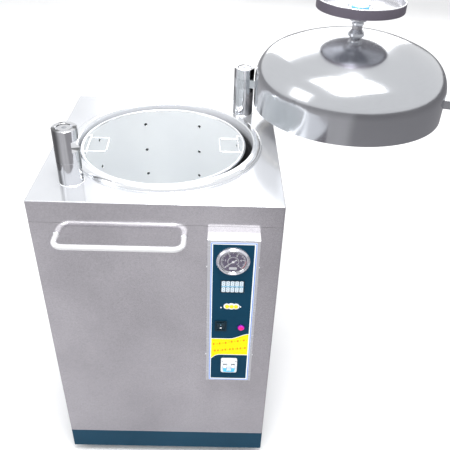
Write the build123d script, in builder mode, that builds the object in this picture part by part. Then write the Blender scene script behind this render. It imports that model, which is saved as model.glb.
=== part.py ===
from build123d import *
import os
from math import cos, sin, sqrt, radians

os.makedirs("parts", exist_ok=True)

# Vertical top-loading steam steriliser, millimetres.
# Frame: origin on the floor under the centre of the cabinet and on the vessel's axis,
# +X to the right, +Y to the rear, +Z up. The lid is swung open to the right.

# ---------------------------------------------------------------- cabinet
CAB_W, CAB_D = 510.0, 520.0
FOOT_H, FOOT_X, FOOT_Y, ANCHOR_R = 25.0, 195.0, 200.0, 4.5
PLINTH_TOP = 91.0
SEAM_Z = 770.0
DECK_Z = 819.0
SHEET = 1.5
FRONT_Y, REAR_Y = -CAB_D / 2, CAB_D / 2

# ---------------------------------------------------------------- vessel
BORE_R, WALL = 200.0, 4.0
VESSEL_TOP, KNUCKLE_Z = 795.0, 326.0
KNUCKLE_R, CROWN_R = 60.0, 360.0
CROWN_Z = KNUCKLE_Z + sqrt((CROWN_R - KNUCKLE_R) ** 2 - (BORE_R - KNUCKLE_R) ** 2)
FLANGE_TOP = 829.0
HEATER_R, HEATER_Z, HEATER_TUBE = 120.0, 285.0, 6.0
DRAIN_Z = 110.0

# ---------------------------------------------------------------- posts and lid
POST_R, POST_OFF, POST_TOP = 25.0, 253.5 / sqrt(2), 939.0
SLOT_LOW, SLOT_HIGH = 892.0, 915.0
OPEN_DEG = -12.0
HINGE_X, HINGE_Y = POST_OFF, POST_OFF
LID_X = HINGE_X + 253.5 * cos(radians(OPEN_DEG))
LID_Y = HINGE_Y + 253.5 * sin(radians(OPEN_DEG))
LID_R, LIFT = 218.0, 40.7
GASKET_Z = 870.0
PLATE_Z, PLATE_TOP = 875.0, 888.0
COVER_R, COVER_RIM, COVER_TOP = 224.0, 870.4, 1043.0
BEAM_W = 36.0
SCREW_R, RUN_FIT = 14.0, 0.08
WHEEL_R, WHEEL_LOW, WHEEL_HIGH = 98.5, 1098.0, 1120.0

# ---------------------------------------------------------------- basket
BASKET_R, BASKET_RIM, BASKET_FLOOR = 182.6, 817.0, 336.5
# the basket stands a little left and forward of the vessel's axis
BASKET_X, BASKET_Y = -6.2, -2.5
BAIL_DEG, BAIL_R, BAIL_Z = 2.4, 173.1, 814.0

# ---------------------------------------------------------------- control column
BOX_X0, BOX_X1, BOX_Z0, BOX_Z1, BOX_PROUD = 103.0, 209.0, 337.0, 756.0, 27.0
BOX_Y = FRONT_Y - BOX_PROUD
GAUGE_X, GAUGE_Z = 155.5, 705.0
DISPLAY_X, DISPLAY_Z = 156.5, 636.0
KEY_X, KEY_Z = (146.7, 156.3, 165.9), 580.0
ROCKER_X, ROCKER_Z = 134.6, 521.0
LAMP_X, LAMP_Z = 179.4, 517.4
BREAKER_X, BREAKER_Z = 156.3, 395.0


def facing_front(y):
    """Plane parallel to the front panel; its x is +X, its y is +Z, its normal is -Y."""
    return Plane(origin=(0, y, 0), x_dir=(1, 0, 0), z_dir=(0, -1, 0))


def facing_side(x):
    """Plane square to X; its x is +Y, its y is +Z, its normal is +X."""
    return Plane(origin=(x, 0, 0), x_dir=(0, 1, 0), z_dir=(1, 0, 0))


def lid_plane(z):
    """Horizontal plane on the lid's axis; its x runs along the beam, away from the hinge."""
    a = radians(OPEN_DEG)
    return Plane(origin=(LID_X, LID_Y, z), x_dir=(cos(a), sin(a), 0), z_dir=(0, 0, 1))


def lid_section():
    """Vertical plane through the lid's axis and along the beam; its y is +Z from the floor."""
    a = radians(OPEN_DEG)
    return Plane(origin=(LID_X, LID_Y, 0), x_dir=(cos(a), sin(a), 0), z_dir=(sin(a), -cos(a), 0))


LID_AXIS = Axis((LID_X, LID_Y, 0), (0, 0, 1))

# ================================================================ base and cabinet
with BuildPart() as rubber_feet:
    with BuildSketch(Plane.XY):
        with GridLocations(2 * FOOT_X, 2 * FOOT_Y, 2, 2):
            Circle(24)
    extrude(amount=FOOT_H, taper=6)
    with BuildSketch(Plane.XY):
        with GridLocations(2 * FOOT_X, 2 * FOOT_Y, 2, 2):
            Circle(ANCHOR_R)
    extrude(amount=FOOT_H, mode=Mode.SUBTRACT)
rubber_feet.part.label = "rubber_feet"
export_step(rubber_feet.part, "parts/rubber_feet.step")

# folded tray that closes the bottom of the cabinet
with BuildPart() as base_frame:
    with BuildSketch(Plane.XY.offset(FOOT_H)):
        RectangleRounded(CAB_W, CAB_D, 2.5)
    extrude(amount=PLINTH_TOP - FOOT_H)
    with BuildSketch(Plane.XY.offset(FOOT_H + 3)):
        RectangleRounded(CAB_W - 4, CAB_D - 4, 1.0)
    extrude(amount=PLINTH_TOP - FOOT_H, mode=Mode.SUBTRACT)
    with BuildSketch(Plane.XY.offset(FOOT_H)):
        with GridLocations(2 * FOOT_X, 2 * FOOT_Y, 2, 2):
            Circle(ANCHOR_R)
    extrude(amount=3, mode=Mode.SUBTRACT)
base_frame.part.label = "base_frame"
export_step(base_frame.part, "parts/base_frame.step")

# one folded sheet: front and both sides
with BuildPart() as body_wrap:
    with BuildSketch(Plane.XY.offset(PLINTH_TOP + 0.6)):
        RectangleRounded(CAB_W, CAB_D, 2.5)
        RectangleRounded(CAB_W - 2 * SHEET, CAB_D - 2 * SHEET, 1.0, mode=Mode.SUBTRACT)
        with Locations((0, REAR_Y)):
            Rectangle(CAB_W - 2 * SHEET, 12, mode=Mode.SUBTRACT)
    extrude(amount=SEAM_Z - 0.6 - PLINTH_TOP - 0.6)
    # opening behind the control column
    with BuildSketch(facing_front(FRONT_Y + 3)):
        with Locations(((BOX_X0 + BOX_X1) / 2, (BOX_Z0 + BOX_Z1) / 2)):
            Rectangle(84, 396)
    extrude(amount=6, mode=Mode.SUBTRACT)
body_wrap.part.label = "body_wrap"
export_step(body_wrap.part, "parts/body_wrap.step")

with BuildPart() as rear_panel:
    with BuildSketch(facing_front(REAR_Y - 0.5)):
        with Locations((0, (PLINTH_TOP + SEAM_Z) / 2)):
            Rectangle(CAB_W - 2 * SHEET - 0.8, SEAM_Z - PLINTH_TOP - 1.2)
    extrude(amount=SHEET)
    # louvre slots, drain, relief pipe and mains inlet
    with BuildSketch(facing_front(REAR_Y)):
        with Locations((0, 300)):
            with GridLocations(130, 16, 2, 9):
                SlotOverall(90, 5)
        with Locations((0, DRAIN_Z)):
            Circle(11)
        with Locations((0, 700)):
            Circle(10)
        with Locations((170, 150)):
            Circle(10.2)
    extrude(amount=4, mode=Mode.SUBTRACT)
rear_panel.part.label = "rear_panel"
export_step(rear_panel.part, "parts/rear_panel.step")

# cap that wraps down over the top of the cabinet
with BuildPart() as deck_panel:
    with BuildSketch(Plane.XY.offset(SEAM_Z)):
        RectangleRounded(CAB_W, CAB_D, 3.5)
    extrude(amount=DECK_Z - SEAM_Z)
    fillet(deck_panel.faces().sort_by(Axis.Z)[-1].edges(), 2.5)
    with BuildSketch(Plane.XY.offset(SEAM_Z)):
        RectangleRounded(CAB_W - 2 * SHEET, CAB_D - 2 * SHEET, 2.0)
    extrude(amount=DECK_Z - SEAM_Z - 2, mode=Mode.SUBTRACT)
    with BuildSketch(Plane.XY.offset(DECK_Z - 3)):
        Circle(212.2)
        with Locations((POST_OFF, POST_OFF), (-POST_OFF, -POST_OFF)):
            Circle(12.2)
    extrude(amount=6, mode=Mode.SUBTRACT)
deck_panel.part.label = "deck_panel"
export_step(deck_panel.part, "parts/deck_panel.step")

# welded frame: four angle uprights under a top plate that carries posts and vessel
with BuildPart() as inner_frame:
    with BuildSketch(Plane.XY.offset(FOOT_H + 3)):
        for sx in (-1, 1):
            for sy in (-1, 1):
                with Locations((sx * 235, sy * 240)):
                    Rectangle(30, 30)
        for sx in (-1, 1):
            for sy in (-1, 1):
                with Locations((sx * 232, sy * 237)):
                    Rectangle(30, 30, mode=Mode.SUBTRACT)
    extrude(amount=760 - FOOT_H - 3)
    with BuildSketch(Plane.XY.offset(760)):
        Rectangle(500, 510)
        Circle(207, mode=Mode.SUBTRACT)
        with Locations((POST_OFF, POST_OFF), (-POST_OFF, -POST_OFF)):
            Circle(12.2, mode=Mode.SUBTRACT)
    extrude(amount=8)
inner_frame.part.label = "inner_frame"
export_step(inner_frame.part, "parts/inner_frame.step")

# ================================================================ vessel
def dish_point(crown, centre_z=CROWN_Z):
    """Tangent point between the crown arc and the knuckle arc, as (radius, z)."""
    reach = CROWN_R - KNUCKLE_R
    return (
        crown * (BORE_R - KNUCKLE_R) / reach,
        centre_z - crown * (CROWN_Z - KNUCKLE_Z) / reach,
    )


def knuckle_mid(radius):
    """Middle of the knuckle arc of the given radius, as (radius, z)."""
    tx = (BORE_R - KNUCKLE_R) / (CROWN_R - KNUCKLE_R)
    tz = -(CROWN_Z - KNUCKLE_Z) / (CROWN_R - KNUCKLE_R)
    mx, mz = tx + 1, tz
    n = sqrt(mx * mx + mz * mz)
    return (BORE_R - KNUCKLE_R + radius * mx / n, KNUCKLE_Z + radius * mz / n)


def crown_mid(crown):
    """A point on the crown arc between the axis and the knuckle."""
    r = dish_point(crown)[0] / 2
    return (r, CROWN_Z - sqrt(crown * crown - r * r))


OUT_CROWN, OUT_KNUCKLE = CROWN_R + WALL, KNUCKLE_R + WALL
with BuildPart() as vessel_shell:
    with BuildSketch(Plane.XZ):
        with BuildLine():
            Line((0, CROWN_Z - OUT_CROWN), (0, CROWN_Z - CROWN_R))
            ThreePointArc((0, CROWN_Z - CROWN_R), crown_mid(CROWN_R), dish_point(CROWN_R))
            ThreePointArc(dish_point(CROWN_R), knuckle_mid(KNUCKLE_R), (BORE_R, KNUCKLE_Z))
            Line((BORE_R, KNUCKLE_Z), (BORE_R, VESSEL_TOP))
            Line((BORE_R, VESSEL_TOP), (BORE_R + WALL, VESSEL_TOP))
            Line((BORE_R + WALL, VESSEL_TOP), (BORE_R + WALL, KNUCKLE_Z))
            ThreePointArc((BORE_R + WALL, KNUCKLE_Z), knuckle_mid(OUT_KNUCKLE), dish_point(OUT_CROWN))
            ThreePointArc(dish_point(OUT_CROWN), crown_mid(OUT_CROWN), (0, CROWN_Z - OUT_CROWN))
        make_face()
    revolve(axis=Axis.Z)
    # drain hole and the two heater tails
    with BuildSketch(Plane.XY.offset(200)):
        Circle(9.1)
        with Locations(
            (HEATER_R * cos(radians(70)), HEATER_R * sin(radians(70))),
            (HEATER_R * cos(radians(110)), HEATER_R * sin(radians(110))),
        ):
            Circle(HEATER_TUBE + 0.6)
    extrude(amount=70, mode=Mode.SUBTRACT)
    # relief pipe
    with BuildSketch(facing_front(230)):
        with Locations((0, 700)):
            Circle(8.1)
    extrude(amount=60, mode=Mode.SUBTRACT)
vessel_shell.part.label = "vessel_shell"
export_step(vessel_shell.part, "parts/vessel_shell.step")

with BuildPart() as vessel_flange:
    with BuildSketch(Plane.XZ):
        with BuildLine():
            Polyline(
                (212.5, FLANGE_TOP), (202.2, FLANGE_TOP), (200, FLANGE_TOP - 2.2), (200, VESSEL_TOP),
                (211.8, VESSEL_TOP), (211.8, DECK_Z + 0.1), (219.3, DECK_Z + 0.1), (219.3, DECK_Z + 2.2),
            )
            ThreePointArc((219.3, DECK_Z + 2.2), (217.4, DECK_Z + 7.4), (212.5, FLANGE_TOP))
        make_face()
    revolve(axis=Axis.Z)
vessel_flange.part.label = "vessel_flange"
export_step(vessel_flange.part, "parts/vessel_flange.step")

with BuildPart() as vessel_skirt:
    with BuildSketch(Plane.XY.offset(FOOT_H + 3)):
        Circle(208)
        Circle(204.1, mode=Mode.SUBTRACT)
    extrude(amount=342 - FOOT_H - 3)
    with BuildSketch(Plane.XY.offset(FOOT_H + 3)):
        Circle(230)
        Circle(204.1, mode=Mode.SUBTRACT)
    extrude(amount=6)
    with BuildSketch(facing_front(240)):
        with Locations((0, 165)):
            RectangleRounded(130, 170, 20)
    extrude(amount=480, mode=Mode.SUBTRACT)
    with BuildSketch(facing_side(-240)):
        with Locations((0, 165)):
            RectangleRounded(130, 170, 20)
    extrude(amount=480, mode=Mode.SUBTRACT)
vessel_skirt.part.label = "vessel_skirt"
export_step(vessel_skirt.part, "parts/vessel_skirt.step")

with BuildPart() as insulation_jacket:
    with BuildSketch(Plane.XY.offset(346)):
        Circle(236)
        Circle(204.6, mode=Mode.SUBTRACT)
    extrude(amount=408)
    with BuildSketch(facing_front(250)):
        with Locations((0, 700)):
            Circle(10)
    extrude(amount=60, mode=Mode.SUBTRACT)
insulation_jacket.part.label = "insulation_jacket"
export_step(insulation_jacket.part, "parts/insulation_jacket.step")

TAIL_1 = (HEATER_R * cos(radians(70)), HEATER_R * sin(radians(70)))
TAIL_2 = (HEATER_R * cos(radians(110)), HEATER_R * sin(radians(110)))
# tubular element: an open loop with two tails down through the dished bottom
with BuildPart() as heating_element:
    with BuildSketch(Plane.XZ.rotated((0, 0, 110))):
        with Locations((HEATER_R, HEATER_Z)):
            Circle(HEATER_TUBE)
    revolve(axis=Axis.Z, revolution_arc=320)
    with BuildSketch(Plane.XY.offset(HEATER_Z)):
        with Locations(TAIL_1, TAIL_2):
            Circle(HEATER_TUBE)
    extrude(amount=-80)
    with Locations((*TAIL_1, HEATER_Z), (*TAIL_2, HEATER_Z)):
        Sphere(HEATER_TUBE)
heating_element.part.label = "heating_element"
export_step(heating_element.part, "parts/heating_element.step")

with BuildPart() as heater_glands:
    with BuildSketch(Plane.XY.offset(224)):
        with Locations(TAIL_1, TAIL_2):
            RegularPolygon(12, 6, major_radius=False)
            Circle(HEATER_TUBE + 0.1, mode=Mode.SUBTRACT)
    extrude(amount=18)
heater_glands.part.label = "heater_glands"
export_step(heater_glands.part, "parts/heater_glands.step")

# perforated plate over the element that keeps the load out of the water
with BuildPart() as rack_plate:
    with BuildSketch(Plane.XY.offset(333)):
        Circle(192)
        with PolarLocations(50, 6):
            Circle(11, mode=Mode.SUBTRACT)
        with PolarLocations(100, 12):
            Circle(11, mode=Mode.SUBTRACT)
        with PolarLocations(148, 18):
            Circle(11, mode=Mode.SUBTRACT)
    extrude(amount=3)
    with BuildSketch(Plane.XY.offset(333)):
        with PolarLocations(165, 3, start_angle=30):
            Circle(5)
    extrude(amount=-58.2)
rack_plate.part.label = "rack_plate"
export_step(rack_plate.part, "parts/rack_plate.step")

# drain from the lowest point of the dish to the rear
with BuildPart() as drain_pipe:
    with BuildLine():
        drain_path = FilletPolyline((0, 0, CROWN_Z - OUT_CROWN + 1), (0, 0, DRAIN_Z), (0, 276, DRAIN_Z), radius=30)
    with BuildSketch(Plane(origin=(0, 0, CROWN_Z - OUT_CROWN + 1), z_dir=(0, 0, -1))):
        Circle(9)
        Circle(7, mode=Mode.SUBTRACT)
    sweep(path=drain_path)
drain_pipe.part.label = "drain_pipe"
export_step(drain_pipe.part, "parts/drain_pipe.step")

# ball valve with a plain hose spigot
with BuildPart() as drain_valve:
    with BuildSketch(facing_front(276)):
        with Locations((0, DRAIN_Z)):
            RegularPolygon(14, 6, major_radius=False)
    extrude(amount=-14)
    with BuildSketch(facing_front(290)):
        with Locations((0, DRAIN_Z)):
            Circle(15)
    extrude(amount=-22)
    with BuildSketch(facing_front(312)):
        with Locations((0, DRAIN_Z)):
            RegularPolygon(13, 6, major_radius=False)
    extrude(amount=-10)
    with BuildSketch(facing_front(322)):
        with Locations((0, DRAIN_Z)):
            Circle(8)
    extrude(amount=-16)
    with BuildSketch(Plane.XY.offset(DRAIN_Z)):
        with Locations((0, 301)):
            Circle(8)
    extrude(amount=20)
    with BuildSketch(facing_front(276)):
        with Locations((0, DRAIN_Z)):
            Circle(5.5)
    extrude(amount=-62, mode=Mode.SUBTRACT)
    with BuildSketch(Plane.XY.offset(DRAIN_Z + 8)):
        with Locations((0, 301)):
            Circle(4.0)
    extrude(amount=12, mode=Mode.SUBTRACT)
drain_valve.part.label = "drain_valve"
export_step(drain_valve.part, "parts/drain_valve.step")

with BuildPart() as drain_lever:
    with BuildSketch(Plane.XY.offset(DRAIN_Z + 10)):
        with Locations((0, 301)):
            Circle(3.95)
    extrude(amount=18)
    with BuildSketch(Plane.XY.offset(DRAIN_Z + 21)):
        with Locations((0, 301)):
            Circle(9)
        with Locations((36, 301)):
            RectangleRounded(72, 13, 5)
    extrude(amount=3)
drain_lever.part.label = "drain_lever"
export_step(drain_lever.part, "parts/drain_lever.step")

# spring relief valve on a pipe from the vessel's upper wall
with BuildPart() as relief_valve:
    with BuildSketch(facing_front(202.5)):
        with Locations((0, 700)):
            Circle(7.9)
    extrude(amount=-83)
    with BuildSketch(Plane.XY.offset(680)):
        with Locations((0, 286)):
            Circle(11)
    extrude(amount=16)
    with BuildSketch(Plane.XY.offset(690)):
        with Locations((0, 286)):
            RegularPolygon(14, 6, major_radius=False)
    extrude(amount=24)
    with BuildSketch(Plane.XY.offset(714)):
        with Locations((0, 286)):
            Circle(12.5)
    extrude(amount=34)
    with BuildSketch(Plane.XY.offset(748)):
        with Locations((0, 286)):
            Circle(12.5)
    extrude(amount=6, taper=30)
    with BuildSketch(Plane.XY.offset(716)):
        with Locations((0, 286)):
            Circle(3.05)
    extrude(amount=50, mode=Mode.SUBTRACT)
    with BuildSketch(Plane.XY.offset(678)):
        with Locations((0, 286)):
            Circle(7)
    extrude(amount=18, mode=Mode.SUBTRACT)
relief_valve.part.label = "relief_valve"
export_step(relief_valve.part, "parts/relief_valve.step")

with BuildPart() as relief_ring:
    with BuildSketch(Plane.XY.offset(718)):
        with Locations((0, 286)):
            Circle(3.0)
    extrude(amount=44)
    with Locations(Location((0, 286, 773), (90, 0, 0))):
        Torus(12, 1.8)
relief_ring.part.label = "relief_ring"
export_step(relief_ring.part, "parts/relief_ring.step")

# cable gland for the supply
with BuildPart() as mains_gland:
    with BuildSketch(facing_front(REAR_Y - 12)):
        with Locations((170, 150)):
            Circle(10)
    extrude(amount=-12)
    with BuildSketch(facing_front(REAR_Y)):
        with Locations((170, 150)):
            RegularPolygon(14, 6, major_radius=False)
    extrude(amount=-8)
    with BuildSketch(facing_front(REAR_Y + 8)):
        with Locations((170, 150)):
            Circle(11.5)
    extrude(amount=-12, taper=14)
    with BuildSketch(facing_front(REAR_Y - 20)):
        with Locations((170, 150)):
            Circle(5.5)
    extrude(amount=-60, mode=Mode.SUBTRACT)
mains_gland.part.label = "mains_gland"
export_step(mains_gland.part, "parts/mains_gland.step")

# ================================================================ front handle
HANDLE_X0, HANDLE_X1, HANDLE_Z, HANDLE_OUT, HANDLE_TUBE = -203.0, 55.0, 739.0, 40.0, 6.0
with BuildPart() as front_handle:
    with BuildLine():
        grip_path = FilletPolyline(
            (HANDLE_X0, FRONT_Y, HANDLE_Z), (HANDLE_X0, FRONT_Y - HANDLE_OUT, HANDLE_Z),
            (HANDLE_X1, FRONT_Y - HANDLE_OUT, HANDLE_Z), (HANDLE_X1, FRONT_Y, HANDLE_Z), radius=20,
        )
    with BuildSketch(Plane(origin=(HANDLE_X0, FRONT_Y, HANDLE_Z), x_dir=(1, 0, 0), z_dir=(0, -1, 0))):
        Circle(HANDLE_TUBE)
    sweep(path=grip_path)
front_handle.part.label = "front_handle"
export_step(front_handle.part, "parts/front_handle.step")

# ================================================================ control column
BOX_MID_X, BOX_MID_Z = (BOX_X0 + BOX_X1) / 2, (BOX_Z0 + BOX_Z1) / 2
with BuildPart() as control_housing:
    with BuildSketch(facing_front(FRONT_Y)):
        with Locations((BOX_MID_X, BOX_MID_Z)):
            Rectangle(BOX_X1 - BOX_X0, BOX_Z1 - BOX_Z0)
    extrude(amount=BOX_PROUD)
    fillet(control_housing.faces().sort_by(Axis.Y)[0].edges(), 1.5)
    with BuildSketch(facing_front(FRONT_Y)):
        with Locations((BOX_MID_X, BOX_MID_Z)):
            Rectangle(BOX_X1 - BOX_X0 - 3, BOX_Z1 - BOX_Z0 - 3)
    extrude(amount=BOX_PROUD - 1.5, mode=Mode.SUBTRACT)
    with BuildSketch(facing_front(BOX_Y + 4)):
        with Locations((GAUGE_X, GAUGE_Z)):
            Circle(30.8)
        with Locations((DISPLAY_X, DISPLAY_Z)):
            Rectangle(50, 34)
        with Locations((KEY_X[1], KEY_Z)):
            Rectangle(29, 11)
        with Locations((ROCKER_X, ROCKER_Z)):
            Rectangle(21, 26)
        with Locations((LAMP_X, LAMP_Z)):
            Circle(6)
        with Locations((BREAKER_X, BREAKER_Z)):
            Rectangle(36, 43)
        with Locations((175.6, 579), (133.8, 576)):
            Circle(1.6)
    extrude(amount=8, mode=Mode.SUBTRACT)
control_housing.part.label = "control_housing"
export_step(control_housing.part, "parts/control_housing.step")

with BuildPart() as housing_screws:
    for z in (677.0, 414.0):
        with BuildSketch(facing_side(BOX_X0)):
            with Locations((FRONT_Y - 14, z)):
                Circle(3.2)
        extrude(amount=-2.2, taper=18)
        with BuildSketch(facing_side(BOX_X1)):
            with Locations((FRONT_Y - 14, z)):
                Circle(3.2)
        extrude(amount=2.2, taper=18)
housing_screws.part.label = "housing_screws"
export_step(housing_screws.part, "parts/housing_screws.step")

OVER_X0, OVER_X1, OVER_Z0, OVER_Z1, OVER_T = 109.5, 203.0, 341.0, 750.5, 0.8
OVER_Y = BOX_Y - OVER_T
with BuildPart() as control_overlay:
    with BuildSketch(facing_front(BOX_Y)):
        with Locations(((OVER_X0 + OVER_X1) / 2, (OVER_Z0 + OVER_Z1) / 2)):
            RectangleRounded(OVER_X1 - OVER_X0, OVER_Z1 - OVER_Z0, 3)
        with Locations((GAUGE_X, GAUGE_Z)):
            Circle(30.8, mode=Mode.SUBTRACT)
        with Locations((DISPLAY_X, DISPLAY_Z)):
            Rectangle(50, 34, mode=Mode.SUBTRACT)
        with Locations((KEY_X[1], KEY_Z)):
            Rectangle(29, 11, mode=Mode.SUBTRACT)
        with Locations((ROCKER_X, ROCKER_Z)):
            Rectangle(21, 26, mode=Mode.SUBTRACT)
        with Locations((LAMP_X, LAMP_Z)):
            Circle(6, mode=Mode.SUBTRACT)
        with Locations((BREAKER_X, BREAKER_Z)):
            Rectangle(36, 43, mode=Mode.SUBTRACT)
        with Locations((175.6, 579), (133.8, 576)):
            Circle(1.6, mode=Mode.SUBTRACT)
    extrude(amount=OVER_T)
control_overlay.part.label = "control_overlay"
export_step(control_overlay.part, "parts/control_overlay.step")

# pressure gauge: can, bezel, dial, pointer, glass
GAUGE_AXIS = Axis((GAUGE_X, 0, GAUGE_Z), (0, 1, 0))
BEZEL_FRONT = OVER_Y - 8.2
with BuildPart() as gauge_case:
    with BuildSketch(Plane(origin=(GAUGE_X, 0, GAUGE_Z), x_dir=(1, 0, 0), z_dir=(0, 0, -1))):
        # x is the radius, y is -Y
        with BuildLine():
            Polyline(
                (0, 244), (30.4, 244), (30.4, -OVER_Y + 0.05), (34.2, -OVER_Y + 0.05), (34.2, -OVER_Y + 4.5),
                (31.4, -BEZEL_FRONT), (29.4, -BEZEL_FRONT), (28.6, -BEZEL_FRONT - 1.6),
                (29.2, -BEZEL_FRONT - 1.6), (29.2, 246), (0, 246), close=True,
            )
        make_face()
    revolve(axis=GAUGE_AXIS)
    # connection stem
    with BuildSketch(facing_front(-244)):
        with Locations((GAUGE_X, GAUGE_Z)):
            Circle(5)
    extrude(amount=-6)
gauge_case.part.label = "gauge_case"
export_step(gauge_case.part, "parts/gauge_case.step")

with BuildPart() as gauge_dial:
    with BuildSketch(facing_front(-289)):
        with Locations((GAUGE_X, GAUGE_Z)):
            Circle(28.9)
            Circle(1.3, mode=Mode.SUBTRACT)
    extrude(amount=0.8)
gauge_dial.part.label = "gauge_dial"
export_step(gauge_dial.part, "parts/gauge_dial.step")

POINTER_DEG = 218.0
with BuildPart() as gauge_pointer:
    with BuildSketch(facing_front(-291)):
        with Locations((GAUGE_X, GAUGE_Z)):
            Circle(3)
        with Locations(Location((GAUGE_X, GAUGE_Z), POINTER_DEG)):
            Polygon((-9, -1.3), (-9, 1.3), (20.5, 0.35), (20.5, -0.35), align=None)
    extrude(amount=0.8)
    with BuildSketch(facing_front(-287)):
        with Locations((GAUGE_X, GAUGE_Z)):
            Circle(1.25)
    extrude(amount=4.4)
gauge_pointer.part.label = "gauge_pointer"
export_step(gauge_pointer.part, "parts/gauge_pointer.step")

with BuildPart() as gauge_glass:
    with BuildSketch(facing_front(BEZEL_FRONT + 3.4)):
        with Locations((GAUGE_X, GAUGE_Z)):
            Circle(29.0)
    extrude(amount=1.6)
gauge_glass.part.label = "gauge_glass"
export_step(gauge_glass.part, "parts/gauge_glass.step")

with BuildPart() as display_module:
    with BuildSketch(facing_front(-272)):
        with Locations((DISPLAY_X, DISPLAY_Z)):
            Rectangle(49.4, 33.4)
    extrude(amount=-OVER_Y - 272 + 0.6)
display_module.part.label = "display_module"
export_step(display_module.part, "parts/display_module.step")

with BuildPart() as key_bezel:
    with BuildSketch(facing_front(OVER_Y)):
        with Locations((KEY_X[0], KEY_Z), (KEY_X[2], KEY_Z)):
            Circle(7.6)
        with Locations((KEY_X[1], KEY_Z)):
            Circle(8.6)
        with Locations(*[(x, KEY_Z) for x in KEY_X]):
            Circle(4.5, mode=Mode.SUBTRACT)
    extrude(amount=1.2)
key_bezel.part.label = "key_bezel"
export_step(key_bezel.part, "parts/key_bezel.step")


with BuildPart() as key_left:
    with BuildSketch(facing_front(OVER_Y + 6)):
        with Locations((KEY_X[0], KEY_Z)):
            Circle(4.2)
    extrude(amount=9.6)
    fillet(key_left.faces().sort_by(Axis.Y)[0].edges(), 0.8)
key_left.part.label = "key_left"
export_step(key_left.part, "parts/key_left.step")

with BuildPart() as key_middle:
    with BuildSketch(facing_front(OVER_Y + 6)):
        with Locations((KEY_X[1], KEY_Z)):
            Circle(4.2)
    extrude(amount=9.6)
    fillet(key_middle.faces().sort_by(Axis.Y)[0].edges(), 0.8)
key_middle.part.label = "key_middle"
export_step(key_middle.part, "parts/key_middle.step")

with BuildPart() as key_right:
    with BuildSketch(facing_front(OVER_Y + 6)):
        with Locations((KEY_X[2], KEY_Z)):
            Circle(4.2)
    extrude(amount=9.6)
    fillet(key_right.faces().sort_by(Axis.Y)[0].edges(), 0.8)
key_right.part.label = "key_right"
export_step(key_right.part, "parts/key_right.step")

with BuildPart() as status_leds:
    with BuildSketch(facing_front(OVER_Y + 6)):
        with Locations((175.6, 579), (133.8, 576)):
            Circle(1.5)
    extrude(amount=7.2)
status_leds.part.label = "status_leds"
export_step(status_leds.part, "parts/status_leds.step")

with BuildPart() as rocker_frame:
    with BuildSketch(facing_front(OVER_Y)):
        with Locations((ROCKER_X, ROCKER_Z)):
            RectangleRounded(26, 31, 1.5)
    extrude(amount=2.0)
    with BuildSketch(facing_front(OVER_Y)):
        with Locations((ROCKER_X, ROCKER_Z)):
            Rectangle(20.6, 25.6)
    extrude(amount=-14)
    with BuildSketch(facing_front(OVER_Y + 10)):
        with Locations((ROCKER_X, ROCKER_Z)):
            Rectangle(17.4, 23.2)
    extrude(amount=20, mode=Mode.SUBTRACT)
rocker_frame.part.label = "rocker_frame"
export_step(rocker_frame.part, "parts/rocker_frame.step")

# see-saw key with its lower end pressed in; it turns about X
ROCK_Y = OVER_Y - 0.5
with BuildPart() as rocker_key:
    with BuildSketch(facing_side(ROCKER_X - 8.2)):
        with BuildLine():
            Polyline(
                (ROCK_Y + 4.5, ROCKER_Z - 6.4), (ROCK_Y + 1.6, ROCKER_Z - 10.0), (ROCK_Y - 0.6, ROCKER_Z - 10.2),
                (ROCK_Y - 2.0, ROCKER_Z), (ROCK_Y - 4.6, ROCKER_Z + 9.0), (ROCK_Y - 0.6, ROCKER_Z + 10.0),
                (ROCK_Y + 4.5, ROCKER_Z + 6.4), close=True,
            )
        make_face()
        with Locations((OVER_Y + 3, ROCKER_Z)):
            Circle(5.6)
    extrude(amount=16.4)
rocker_key.part.label = "rocker_key"
export_step(rocker_key.part, "parts/rocker_key.step")

with BuildPart() as lamp_bezel:
    with BuildSketch(facing_front(OVER_Y)):
        with Locations((LAMP_X, LAMP_Z)):
            Circle(8.6)
    extrude(amount=2.2)
    fillet(lamp_bezel.faces().sort_by(Axis.Y)[0].edges(), 0.8)
    with BuildSketch(facing_front(OVER_Y)):
        with Locations((LAMP_X, LAMP_Z)):
            Circle(5.8)
    extrude(amount=-12)
    with BuildSketch(facing_front(OVER_Y + 13)):
        with Locations((LAMP_X, LAMP_Z)):
            Circle(5.0)
    extrude(amount=20, mode=Mode.SUBTRACT)
    with BuildSketch(facing_front(OVER_Y - 0.8)):
        with Locations((LAMP_X, LAMP_Z)):
            Circle(6.8)
    extrude(amount=4, mode=Mode.SUBTRACT)
lamp_bezel.part.label = "lamp_bezel"
export_step(lamp_bezel.part, "parts/lamp_bezel.step")

with BuildPart() as lamp_lens:
    with BuildSketch(facing_front(OVER_Y - 0.8)):
        with Locations((LAMP_X, LAMP_Z)):
            Circle(6.7)
    extrude(amount=4.6)
    fillet(lamp_lens.faces().sort_by(Axis.Y)[0].edges(), 2.6)
    with BuildSketch(facing_front(OVER_Y - 0.8)):
        with Locations((LAMP_X, LAMP_Z)):
            Circle(4.9)
    extrude(amount=-9)
lamp_lens.part.label = "lamp_lens"
export_step(lamp_lens.part, "parts/lamp_lens.step")

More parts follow.
